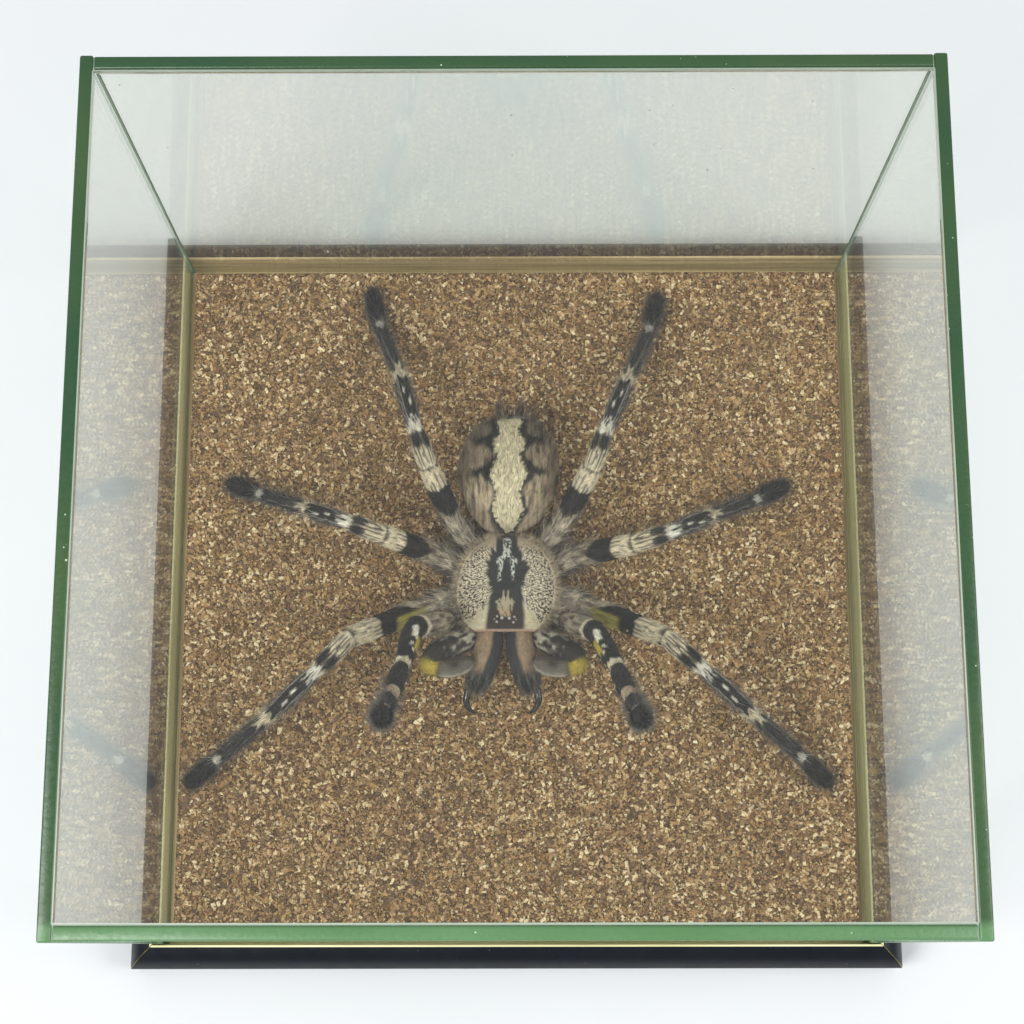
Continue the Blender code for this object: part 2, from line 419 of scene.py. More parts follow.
def pane_foot():
    """A standing pane's foot, painted in bright pale wood colours: painted light standing in for the lit wood
    seen through the glass.
    """
    made, bench, shader = finish("pane_foot")
    lines = bench.noise(bench.stretched(own_place(bench), (900, 12, 900)), 1.0, 2.0)
    share = bench.spread(lines, 0.35, 0.65)
    body = bench.mix(share, tint(250, 248, 196), tint(178, 172, 112))
    rough = bench.spread(lines, 0.3, 0.7, 0.5, 0.7)
    dress(bench, shader, body, rough)
    return made


def plain_board():
    """The base board's bare sheet, its grain from front to back."""
    made, bench, shader = finish("plain_board")
    place = own_place(bench)
    turned = bench.add(
        "ShaderNodeMapping", {"Vector": place, "Scale": (1000, 1000, 1000), "Rotation": (0, 0, math.pi / 2)}
    )
    grain = use(
        bench,
        GRAIN,
        {"Vector": turned.outputs[0], "Light": (*tint(196, 172, 130), 1), "Dark": (*tint(140, 108, 70), 1)},
    )
    rough = bench.spread(grain.outputs["Height"], 0.0, 1.0, 0.6, 0.85)
    dress(bench, shader, grain.outputs["Colour"], rough)
    raise_surface(bench, shader, grain.outputs["Height"], 0.1)
    return made


def cork_ramp(bench, tone):
    """Cork's own browns, from the dark bark to the pale fresh grain."""
    ramp = bench.add("ShaderNodeValToRGB", {"Fac": tone})
    stops = (
        (0.0, tint(78, 52, 28)),
        (0.2, tint(122, 87, 48)),
        (0.45, tint(155, 118, 69)),
        (0.7, tint(180, 143, 91)),
        (0.9, tint(210, 180, 132)),
        (1.0, tint(244, 226, 186)),
    )
    line = ramp.color_ramp
    line.elements[0].position = stops[0][0]
    line.elements[0].color = (*stops[0][1], 1)
    line.elements[1].position = stops[-1][0]
    line.elements[1].color = (*stops[-1][1], 1)
    for position, colour in stops[1:-1]:
        line.elements.new(position).color = (*colour, 1)
    return ramp.outputs["Color"]


def cork_bed():
    """The small crumbs between the granules."""
    made, bench, shader = finish("cork_bed")
    place = own_place(bench)
    crumbs = bench.add("ShaderNodeTexVoronoi", {"Vector": place, "Scale": 1900.0})
    parts = bench.add("ShaderNodeSeparateColor", {0: crumbs.outputs["Color"]})
    colour = cork_ramp(bench, parts.outputs[0])
    shadow = bench.spread(crumbs.outputs["Distance"], 0.3, 0.7, 1.0, 0.4)
    colour = bench.mix(
        1.0,
        colour,
        bench.add("ShaderNodeCombineColor", {0: shadow, 1: shadow, 2: shadow}).outputs[0],
        "MULTIPLY",
    )
    rough = bench.spread(parts.outputs[1], 0.0, 1.0, 0.75, 0.95)
    dress(bench, shader, colour, rough)
    raise_surface(bench, shader, shadow, 0.5)
    return made


def cork_granule():
    made, bench, shader = finish("cork_granule")
    place = own_place(bench)
    own_tone = bench.kept("tone")
    cells = bench.noise(place, 1700.0, 3.0)
    patch = bench.noise(place, 28.0, 2.0)
    shift = bench.spread(cells, 0.3, 0.7, -0.28, 0.28)
    wide = bench.spread(patch, 0.3, 0.7, -0.08, 0.08)
    tone = bench.math("ADD", own_tone, bench.math("ADD", shift, wide))
    colour = cork_ramp(bench, tone)
    greyed = bench.math("FRACT", bench.math("MULTIPLY", own_tone, 7.3))
    colour = bench.mix(bench.math("MULTIPLY", greyed, 0.3), colour, tint(158, 140, 122))
    rough = bench.spread(cells, 0.3, 0.7, 0.7, 0.95)
    dress(bench, shader, colour, rough)
    raise_surface(bench, shader, cells, 0.12)
    return made


# ---------------------------------------------------------------- finishes of the spider

def coat(name, lines, length, contrast, sheen=0.0, flecks=False):
    """The skin under the fur: the coat's own colours broken up by fine hair lines."""
    made, bench, shader = finish(name)
    lie = own_layout(bench)
    base = bench.add("ShaderNodeAttribute", attribute_name="coat").outputs["Color"]
    if flecks:
        share = bench.kept("flecked")
        drawn = bench.stretched(lie, (1.75, 3.6, 1))
        pits = bench.add(
            "ShaderNodeTexNoise", {"Vector": drawn, "Scale": 1.0, "Detail": 1.5, "Distortion": 0.6}
        )
        level = bench.math("MULTIPLY", bench.math("SUBTRACT", 1.0, share), 0.4)
        level = bench.math("ADD", level, 0.497)
        dark = bench.math("SUBTRACT", pits.outputs["Fac"], level)
        mask = bench.spread(dark, 0.0, 0.025)
        base = bench.mix(mask, base, tint(40, 31, 25))
    streaks = use(
        bench,
        STREAKS,
        {
            "Vector": lie,
            "Base": base,
            "Lines per millimetre": lines,
            "Line length": length,
            "Contrast": contrast,
        },
    )
    rough = bench.spread(streaks.outputs["Height"], 0.0, 1.0, 0.55, 0.8)
    dress(bench, shader, streaks.outputs["Colour"], rough)
    raise_surface(bench, shader, streaks.outputs["Height"], 0.14)
    shader.inputs["Sheen Weight"].default_value = sheen
    shader.inputs["Specular IOR Level"].default_value = 0.35
    return made


def fur_fibre():
    """The hairs themselves: each takes the coat's colour at its root and its own shade."""
    made, bench, shader = finish("fur_fibre")
    base = bench.add("ShaderNodeAttribute", attribute_name="coat").outputs["Color"]
    shade = bench.kept("shade")
    gain = bench.spread(shade, 0.0, 1.0, 0.38, 1.75)
    toned = bench.scaled(base, gain)
    frost = bench.kept("frost")
    toned = bench.mix(frost, toned, tint(150, 144, 136))
    rough = bench.spread(shade, 0.0, 1.0, 0.45, 0.65)
    dress(bench, shader, toned, rough)
    shader.inputs["Specular IOR Level"].default_value = 0.3
    return made


def plain_floor():
    made, bench, shader = finish("plain_floor")
    place = own_place(bench)
    cloud = bench.noise(place, 9.0, 2.0)
    body = bench.mix(cloud, tint(226, 231, 234), tint(233, 237, 240))
    bench.link(body, shader.inputs["Base Color"])
    shader.inputs["Roughness"].default_value = 0.8
    return made


CLEAR_GLASS = clear_glass()
GROUND_EDGE = ground_edge()
# The edges where panes meet and are bonded, polished; their pale grey-green colour is a painted highlight
# along the joints
JOINT_EDGE = clouded("joint_edge", 60.0, 3.0, tint(150, 166, 150), tint(186, 200, 184), (0.2, 0.4))
BLACK_LACQUER = black_lacquer()
RAW_WOOD = raw_wood()
PANE_FOOT = pane_foot()
PLAIN_BOARD = plain_board()
CORK_BED = cork_bed()
CORK_GRANULE = cork_granule()
SHIELD_COAT = coat("shield_coat", 3.2, 1.1, 0.35, 0.1, flecks=True)
ABDOMEN_COAT = coat("abdomen_coat", 3.0, 1.8, 1.2, 0.15)
LEG_COAT = coat("leg_coat", 2.8, 1.9, 1.0, 0.1)
JAW_COAT = coat("jaw_coat", 2.8, 1.8, 1.0, 0.1)
FUR_FIBRE = fur_fibre()
FANG_HORN = clouded("horn_gloss", 500.0, 2.0, tint(20, 20, 22), tint(44, 40, 42), (0.14, 0.3), 0.03)
# The eyes' pale grey colour is a painted highlight: the eyes are dark and glossy, and their shine is painted
# into the colour.
EYE_LENS = clouded("eye_lens", 1500.0, 1.0, tint(214, 212, 204), tint(160, 160, 154), (0.08, 0.16))
PLAIN_FLOOR = plain_floor()


# ---------------------------------------------------------------- meshes

def show(name, mesh, materials):
    """An object for a finished mesh, standing at the origin."""
    for material in materials:
        if material.name not in mesh.materials:
            mesh.materials.append(material)
    piece = bpy.data.objects.new(name, mesh)
    bpy.context.scene.collection.objects.link(piece)
    return piece


def settle(piece, nodes=()):
    """Hands a finished piece to the frame."""
    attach(piece, BODY)
    if nodes:
        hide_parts(*nodes)


def as_mesh(shape, name):
    """Turns a finished shape into a mesh."""
    mesh = bpy.data.meshes.new(name)
    shape.to_mesh(mesh)
    shape.free()
    return mesh


def lay_flat(mesh, name, corners):
    """Writes a flat layout: one place on it for each corner of the faces."""
    layout = mesh.uv_layers.get(name) or mesh.uv_layers.new(name=name)
    layout.data.foreach_set("uv", np.asarray(corners, np.float32).ravel())


def distances(points):
    """How far along a line each of its points lies."""
    return np.concatenate(((0,), np.cumsum(np.linalg.norm(np.diff(points, axis=0), axis=1))))


def write_values(mesh, name, kind, values):
    """Keeps one value a corner point on the mesh, under a name."""
    layer = mesh.attributes.new(name, kind, "POINT")
    if kind == "FLOAT_COLOR":
        full = np.ones((len(values), 4))
        full[:, :3] = values
        layer.data.foreach_set("color", full.astype(np.float32).ravel())
    elif kind == "FLOAT_VECTOR":
        layer.data.foreach_set("vector", np.asarray(values, np.float32).ravel())
    else:
        layer.data.foreach_set("value", np.asarray(values, np.float32).ravel())


def shell(name, rings, lie, values, flip=False):
    """A closed skin through rings of points in metres, each end drawn in to one point.

    rings is (rings, sides, 3) and lie is (rings, sides + 1, 2), the flat layout that the
    hair lines run along. values holds named arrays of (rings, sides, ...).
    """
    count, sides = rings.shape[:2]
    points = np.concatenate((rings.reshape(-1, 3), rings[0].mean(0)[None], rings[-1].mean(0)[None]))
    first_pole, last_pole = count * sides, count * sides + 1
    faces, corners = [], []
    for ring in range(count - 1):
        for side in range(sides):
            after = (side + 1) % sides
            row, next_row = ring * sides, (ring + 1) * sides
            faces.append((row + side, row + after, next_row + after, next_row + side))
            corners += [lie[ring, side], lie[ring, side + 1], lie[ring + 1, side + 1], lie[ring + 1, side]]
    for side in range(sides):
        after = (side + 1) % sides
        faces.append((first_pole, after, side))
        corners += [(lie[0, side] + lie[0, side + 1]) / 2, lie[0, side + 1], lie[0, side]]
        start = (count - 1) * sides
        faces.append((last_pole, start + side, start + after))
        corners += [(lie[-1, side] + lie[-1, side + 1]) / 2, lie[-1, side], lie[-1, side + 1]]
    mesh = bpy.data.meshes.new(name)
    mesh.from_pydata(points.tolist(), [], faces)
    lay_flat(mesh, "lie", corners)
    for label, (kind, value) in values.items():
        flat = value.reshape(count * sides, -1)
        full = np.concatenate(
            (flat, value[0].reshape(sides, -1).mean(0)[None], value[-1].reshape(sides, -1).mean(0)[None])
        )
        write_values(mesh, label, kind, full if full.shape[1] > 1 else full[:, 0])
    mesh.shade_smooth()
    if flip:
        mesh.flip_normals()
    mesh.update()
    return mesh


def dense_line(points, step):
    """Walks a line of points in about equal small steps.

    Returns the places, the part that each place lies on and its share of it.
    """
    places, part_of, share_of = [], [], []
    for part in range(len(points) - 1):
        start, end = np.array(points[part], float), np.array(points[part + 1], float)
        count = max(2, int(round(np.linalg.norm(end - start) / step)))
        for number in range(count):
            share = number / count
            places.append(start + (end - start) * share)
            part_of.append(part)
            share_of.append(share)
    places.append(np.array(points[-1], float))
    part_of.append(len(points) - 2)
    share_of.append(1.0)
    return np.array(places), np.array(part_of), np.array(share_of)


def eased(values, reach):
    """Averages each row with its neighbours, leaving the two ends where they are."""
    out = values.copy()
    for place in range(len(values)):
        near = min(reach, place, len(values) - 1 - place)
        out[place] = values[place - near : place + near + 1].mean(0)
    return out


def frames_along(places):
    """The direction, the upper side and the front side at each place on a line."""
    way = np.gradient(places, axis=0)
    way /= np.linalg.norm(way, axis=1, keepdims=True)
    tops = []
    current = np.array((0.0, 0.0, 1.0))
    for step in way:
        current = current - step * np.dot(current, step)
        current = current / np.linalg.norm(current)
        tops.append(current)
    tops = np.array(tops)
    return way, tops, np.cross(way, tops)


def lofted(places, radii, sides):
    """Rings of points round a line, in millimetres, with what the coat needs to know of each."""
    way, upper, front = frames_along(places)
    turn = np.linspace(-math.pi, math.pi, sides + 1)
    lean = turn[:-1]
    rise = upper[:, None, :] * np.cos(lean)[None, :, None]
    ring = rise + front[:, None, :] * np.sin(lean)[None, :, None]
    rings = places[:, None, :] + ring * radii[:, None, None]
    run = distances(places)
    lie = np.zeros((len(places), sides + 1, 2))
    lie[..., 0] = run[:, None]
    lie[..., 1] = turn[None, :] * radii.mean()
    flow = np.repeat(way[:, None, :], sides, axis=1)
    return rings, lie, flow, np.broadcast_to(lean, (len(places), sides)), run


def turn_outward(mesh):
    shape = bmesh.new()
    shape.from_mesh(mesh)
    bmesh.ops.recalc_face_normals(shape, faces=shape.faces)
    shape.to_mesh(mesh)
    shape.free()


def to_metres(points, side=1.0):
    """Spider millimetres to the case's metres; side -1 gives the left of a pair."""
    moved = np.array(points, float) * MM
    moved[..., 0] *= side
    return moved + SPIDER_PLACE


def mirrored(vectors, side):
    turned = np.array(vectors, float)
    turned[..., 0] *= side
    return turned


# ---------------------------------------------------------------- camera, light and floor

def set_camera():
    data = bpy.data.cameras.new("camera")
    data.lens = CAMERA_LENS
    data.sensor_width = CAMERA_SENSOR
    data.clip_start = 0.01
    data.clip_end = 20
    camera = bpy.data.objects.new("camera", data)
    bpy.context.scene.collection.objects.link(camera)
    turn = Matrix(CAMERA_TURN).to_4x4()
    camera.matrix_world = Matrix.Translation(CAMERA_PLACE) @ turn
    bpy.context.scene.camera = camera


def soft_lamp(name, place, size, watts):
    data = bpy.data.lights.new(name, "AREA")
    data.size = size
    data.energy = watts
    data.color = LAMP_COLOUR
    lamp = bpy.data.objects.new(name, data)
    bpy.context.scene.collection.objects.link(lamp)
    lamp.location = place
    lamp.rotation_euler = (-Vector(place)).to_track_quat("-Z", "Y").to_euler()


def set_room():
    room = bpy.data.worlds.new("pale_room")
    room.use_nodes = True
    sky = room.node_tree.nodes["Background"]
    sky.inputs["Color"].default_value = (0.98, 0.985, 0.985, 1)
    sky.inputs["Strength"].default_value = ROOM_LIGHT
    bpy.context.scene.world = room
    bpy.context.scene.view_settings.view_transform = "Standard"
    for lamp in LAMPS:
        soft_lamp(*lamp)
    mesh = bpy.data.meshes.new("floor")
    corners = [(x * FLOOR_REACH, y * FLOOR_REACH, -FLOOR_DROP * MM) for x, y in SQUARE]
    mesh.from_pydata(corners, [], [(0, 1, 2, 3)])
    floor = show("floor", mesh, [PLAIN_FLOOR])


# ---------------------------------------------------------------- the case

PANES = {"glass_left": 0, "glass_right": 0, "glass_front": 1, "glass_back": 1, "glass_top": 2}
PANE_ROUNDING = 0.5
# How much each pane's bonded edges are let out, across and front to back, to meet its neighbours
BOND = {"glass_front": (0.28, 0.0), "glass_back": (0.28, 0.0), "glass_top": (0.58, 0.28)}
# How far out the moulding is lacquered, and its section as (distance from the middle, height).
LACQUER_FROM = 95.9
PLINTH_OUT = 101.49
SHOULDER = 9.9
LIP_OUT = 95.8
LIP_IN = 95.3
LIP_TOP = 15.0
LEDGE_IN = 91.8
WALL_FOOT = 4.0
SLOPE_SWELL = 0.9
SLOPE_STEPS = 10
EDGE_ROUNDING = 0.35
STRIP_STEPS = 24
MITRE_GAP = 0.12


CLEAR, GREEN, BONDED, FOOT = range(4)  # a pane's materials, in the order of its slots


def make_pane(name, thin):
    """A pane with clear faces and a ground green edge all round."""
    low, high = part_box(name)
    across, deep = BOND.get(name, (0.0, 0.0))
    bond = Vector((across * MM, deep * MM, 0))
    low, high = low - bond, high + bond
    shape = bmesh.new()
    bmesh.ops.create_cube(shape, size=1)
    bmesh.ops.scale(shape, vec=high - low, verts=shape.verts)
    bmesh.ops.translate(shape, vec=(high + low) / 2, verts=shape.verts)
    bmesh.ops.bevel(
        shape, geom=list(shape.edges), offset=PANE_ROUNDING * MM, segments=3, profile=0.5, affect="EDGES"
    )
    bmesh.ops.recalc_face_normals(shape, faces=shape.faces)
    for face in shape.faces:
        clear = abs(face.normal[thin]) > 0.99 and face.calc_area() > 1e-4
        bonded = name == "glass_top" or (thin == 1 and abs(face.normal.x) > 0.5)
        if face.normal.z < -0.9 and name != "glass_top":
            face.material_index = FOOT
        elif clear or face.normal.z < -0.5:
            face.material_index = CLEAR
        elif bonded:
            face.material_index = BONDED
        else:
            face.material_index = GREEN
        face.smooth = not clear
    mesh = as_mesh(shape, name + "_pane")
    pane = show(name + "_pane", mesh, [CLEAR_GLASS, GROUND_EDGE, JOINT_EDGE, PANE_FOOT])
    settle(pane, [name])


def rounded_section(points, radius, steps=3):
    """A closed outline with its corners rounded off."""
    out = []
    for number, corner in enumerate(points):
        corner = np.array(corner, float)
        before = np.array(points[number - 1], float)
        after = np.array(points[(number + 1) % len(points)], float)
        to_before, to_after = before - corner, after - corner
        room = min(np.linalg.norm(to_before), np.linalg.norm(to_after)) / 2.2
        reach = min(radius, room)
        start = corner + to_before / np.linalg.norm(to_before) * reach
        end = corner + to_after / np.linalg.norm(to_after) * reach
        for step in range(steps + 1):
            share = step / steps
            out.append((1 - share) ** 2 * start + 2 * share * (1 - share) * corner + share**2 * end)
    return np.array(out)


def moulding_section():
    """The strip's section: the flat underside, the swelling slope, the lip and the rebate."""
    run, climb = LIP_OUT - PLINTH_OUT, LIP_TOP - SHOULDER
    slant = math.hypot(run, climb)
    slope = []
    for step in range(1, SLOPE_STEPS):
        share = step / SLOPE_STEPS
        swell = SLOPE_SWELL * math.sin(math.pi * share)
        out = PLINTH_OUT + run * share + swell * climb / slant
        slope.append((out, SHOULDER + climb * share - swell * run / slant))
    corners = [(LEDGE_IN, 0), (PLINTH_OUT, 0), (PLINTH_OUT, SHOULDER)]
    corners += slope
    corners += [(LIP_OUT, LIP_TOP), (LIP_IN, LIP_TOP), (LIP_IN, WALL_FOOT), (LEDGE_IN, WALL_FOOT)]
    return rounded_section(corners, EDGE_ROUNDING)


def make_moulding(name, turn):
    """One mitred strip: black lacquer outside, bare wood within."""
    section = moulding_section()
    sides = len(section)
    steps = STRIP_STEPS
    points, faces, corners, slots = [], [], [], []
    edge_run = distances(np.vstack((section, section[:1])))
    for step in range(steps + 1):
        share = step / steps * 2 - 1
        for out, height in section:
            points.append((share * (out - MITRE_GAP), -out, height))
    for step in range(steps):
        for side in range(sides):
            after = (side + 1) % sides
            first, second = step * sides, (step + 1) * sides
            faces.append((first + side, first + after, second + after, second + side))
            reach = max(section[side][0], section[after][0])
            level = min(section[side][1], section[after][1])
            slots.append(1 if reach < LACQUER_FROM and level > WALL_FOOT - 1 else 0)
            for at_step, at_side, where in (
                (step, side, side),
                (step, side + 1, after),
                (step + 1, side + 1, after),
                (step + 1, side, side),
            ):
                along = (at_step / steps * 2 - 1) * section[where][0]
                corners.append((along, edge_run[at_side]))
    faces.append(tuple(range(sides - 1, -1, -1)))
    faces.append(tuple(range(steps * sides, (steps + 1) * sides)))
    for end in (faces[-2], faces[-1]):
        corners += [(points[number][2], -points[number][1]) for number in end]
        slots.append(1)
    spun = Matrix.Rotation(turn, 3, "Z")
    points = [tuple(spun @ Vector(point) * MM) for point in points]
    mesh = bpy.data.meshes.new(name + "_strip")
    mesh.from_pydata(points, [], faces)
    lay_flat(mesh, "lie", corners)
    strip = show(name + "_strip", mesh, [BLACK_LACQUER, RAW_WOOD])
    mesh.polygons.foreach_set("material_index", np.array(slots, np.int32))
    turn_outward(mesh)
    settle(strip, [name])


def build_case():
    for name, thin in PANES.items():
        make_pane(name, thin)
    for count, side in enumerate(("front", "right", "back", "left")):
        make_moulding("moulding_" + side, count * math.pi / 2)
    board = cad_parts["base_board"]
    board.data.materials.clear()
    board.data.materials.append(PLAIN_BOARD)


# ---------------------------------------------------------------- the cork

BED_STEPS = 236
BED_DROP = 0.4
CHIP_GAP = 0.71
CHIP_SEEDS = (3, 8)
CHIP_RIM = 0.8
CHIP_SINK = 0.42


def make_cork_bed():
    """The pressed sheet under the loose-looking top granules: a closed slab with a crumbly top."""
    low, high = CORK_LOW / MM, CORK_HIGH / MM
    across = np.linspace(low.x, high.x, BED_STEPS + 1)
    deep = np.linspace(low.y, high.y, BED_STEPS + 1)
    x, y = np.meshgrid(across, deep, indexing="ij")
    lumps = mottle(x / 1.3, y / 1.3, seed=5) - 0.5
    crumbs = mottle(x * 1.31, y * 1.31, seed=6) - 0.5
    top = high.z - BED_DROP + lumps * 0.35 + crumbs * 0.4
    shape = bmesh.new()
    places = np.stack((x, y, top), axis=-1) * MM
    upper = [[shape.verts.new(place) for place in row] for row in places.tolist()]
    for i in range(BED_STEPS):
        for j in range(BED_STEPS):
            shape.faces.new((upper[i][j], upper[i + 1][j], upper[i + 1][j + 1], upper[i][j + 1]))
    border = [edge for edge in shape.edges if edge.is_boundary]
    grown = bmesh.ops.extrude_edge_only(shape, edges=border)
    for item in grown["geom"]:
        if isinstance(item, bmesh.types.BMVert):
            item.co.z = low.z * MM
    open_rim = [edge for edge in shape.edges if edge.is_boundary]
    bmesh.ops.contextual_create(shape, geom=open_rim)
    bmesh.ops.recalc_face_normals(shape, faces=shape.faces)
    bed = show("cork_bed", as_mesh(shape, "cork_bed"), [CORK_BED])
    settle(bed, ["cork_sheet"])


def shape_tree(name, sockets):
    """An empty Geometry Nodes tree with named inputs, and its bench and two ends."""
    geometry = ("Geometry", "NodeSocketGeometry")
    return effect(name, ((*geometry, None), *sockets), (geometry,), "GeometryNodeTree")


def open_socket(sockets, name):
    """The socket of that name that the node's settings leave in use."""
    return next(socket for socket in sockets if socket.name == name and socket.enabled)


def random_value(bench, low, high, seed, kind="FLOAT"):
    node = bench.add("FunctionNodeRandomValue", data_type=kind)
    open_socket(node.inputs, "Min").default_value = low
    open_socket(node.inputs, "Max").default_value = high
    node.inputs["Seed"].default_value = seed
    return open_socket(node.outputs, "Value")


def keep_value(bench, points, name, value):
    """Keeps a value on each point, under a name."""
    kept = bench.add(
        "GeometryNodeStoreNamedAttribute",
        {"Geometry": points, "Name": name},
        data_type="FLOAT",
        domain="POINT",
    )
    bench.link(value, open_socket(kept.inputs, "Value"))
    return kept.outputs[0]


def make_chip_tree():
    """Scatters cork granules over a face, each of its own size, lie, tone and crooked shape."""
    tree, bench, start, end = shape_tree(
        "cork_chips",
        (
            ("Gap", "NodeSocketFloat", CHIP_GAP * MM),
            ("Seed", "NodeSocketInt", 1),
            ("Material", "NodeSocketMaterial", None),
        ),
    )
    spots = bench.add(
        "GeometryNodeDistributePointsOnFaces",
        {
            "Mesh": start.outputs["Geometry"],
            "Distance Min": start.outputs["Gap"],
            "Density Max": 3.0e6,
            "Seed": start.outputs["Seed"],
        },
        distribute_method="POISSON",
    )
    tone = random_value(bench, 0.0, 1.0, 11)
    marked = keep_value(bench, spots.outputs["Points"], "tone", tone)
    chip = bench.add("GeometryNodeMeshCube", {"Size": (1.0 * MM, 1.0 * MM, 1.0 * MM)})
    shape = random_value(bench, (0.7, 0.6, 0.5), (2.3, 1.15, 0.85), 12, "FLOAT_VECTOR")
    scale = random_value(bench, 0.42, 0.98, 14)
    size = bench.scaled(shape, scale)
    turn = random_value(bench, (-0.5, -0.5, -3.14), (0.5, 0.5, 3.14), 13, "FLOAT_VECTOR")
    strewn = bench.add(
        "GeometryNodeInstanceOnPoints",
        {"Points": marked, "Instance": chip.outputs["Mesh"], "Rotation": turn, "Scale": size},
    )
    real = bench.add("GeometryNodeRealizeInstances", {"Geometry": strewn.outputs[0]})
    place = bench.add("GeometryNodeInputPosition").outputs[0]
    warp = bench.add("ShaderNodeTexNoise", {"Vector": place, "Scale": 1500.0, "Detail": 1.0})
    centred = bench.vector("SUBTRACT", warp.outputs["Color"], (0.5, 0.5, 0.5))
    push = bench.scaled(centred, 1.1 * MM)
    crooked = bench.add("GeometryNodeSetPosition", {"Geometry": real.outputs[0], "Offset": push})
    finished = bench.add(
        "GeometryNodeSetMaterial", {"Geometry": crooked.outputs[0], "Material": start.outputs["Material"]}
    )
    bench.link(finished.outputs[0], end.inputs["Geometry"])
    return tree


def grown_mesh(carrier, tree, values, name):
    """Runs a tree on a carrier and returns what grew as a plain mesh of its own."""
    modifier = carrier.modifiers.new("grow", "NODES")
    modifier.node_group = tree
    for socket in tree.interface.items_tree:
        if socket.item_type == "SOCKET" and socket.in_out == "INPUT" and socket.name in values:
            modifier[socket.identifier] = values[socket.name]
    graph = bpy.context.evaluated_depsgraph_get()
    mesh = bpy.data.meshes.new_from_object(
        carrier.evaluated_get(graph), preserve_all_data_layers=True, depsgraph=graph
    )
    mesh.name = name
    carrier.modifiers.remove(modifier)
    mesh.materials.clear()
    mesh.materials.append(values["Material"])
    mesh.polygons.foreach_set("material_index", np.zeros(len(mesh.polygons), np.int32))
    return mesh


def make_chips():
    tree = make_chip_tree()
    low, high = CORK_LOW, CORK_HIGH
    rim = CHIP_RIM * MM
    middle = (low.x + high.x) / 2
    for number, (left, right) in enumerate(((low.x + rim, middle), (middle, high.x - rim))):
        level = high.z - CHIP_SINK * MM
        corners = [
            (left, low.y + rim, level),
            (right, low.y + rim, level),
            (right, high.y - rim, level),
            (left, high.y - rim, level),
        ]
        mesh = bpy.data.meshes.new("chip_ground")
        mesh.from_pydata(corners, [], [(0, 1, 2, 3)])
        ground = show("chip_ground", mesh, [])
        name = "cork_granules_" + ("left", "right")[number]
        values = {"Gap": CHIP_GAP * MM, "Seed": CHIP_SEEDS[number], "Material": CORK_GRANULE}
        grown = grown_mesh(ground, tree, values, name)
        bpy.data.objects.remove(ground)
        chips = show(name, grown, [CORK_GRANULE])
        settle(chips)


set_camera()
set_room()
build_case()
make_cork_bed()
make_chips()


# ---------------------------------------------------------------- the fur

SHORT, LONG = 1, 2  # segments in a strand: a short hair is straight and a long one bends


def own_value(bench, name, kind="FLOAT"):
    """What the skin keeps at each point under a name."""
    return bench.add("GeometryNodeInputNamedAttribute", {"Name": name}, data_type=kind).outputs[0]


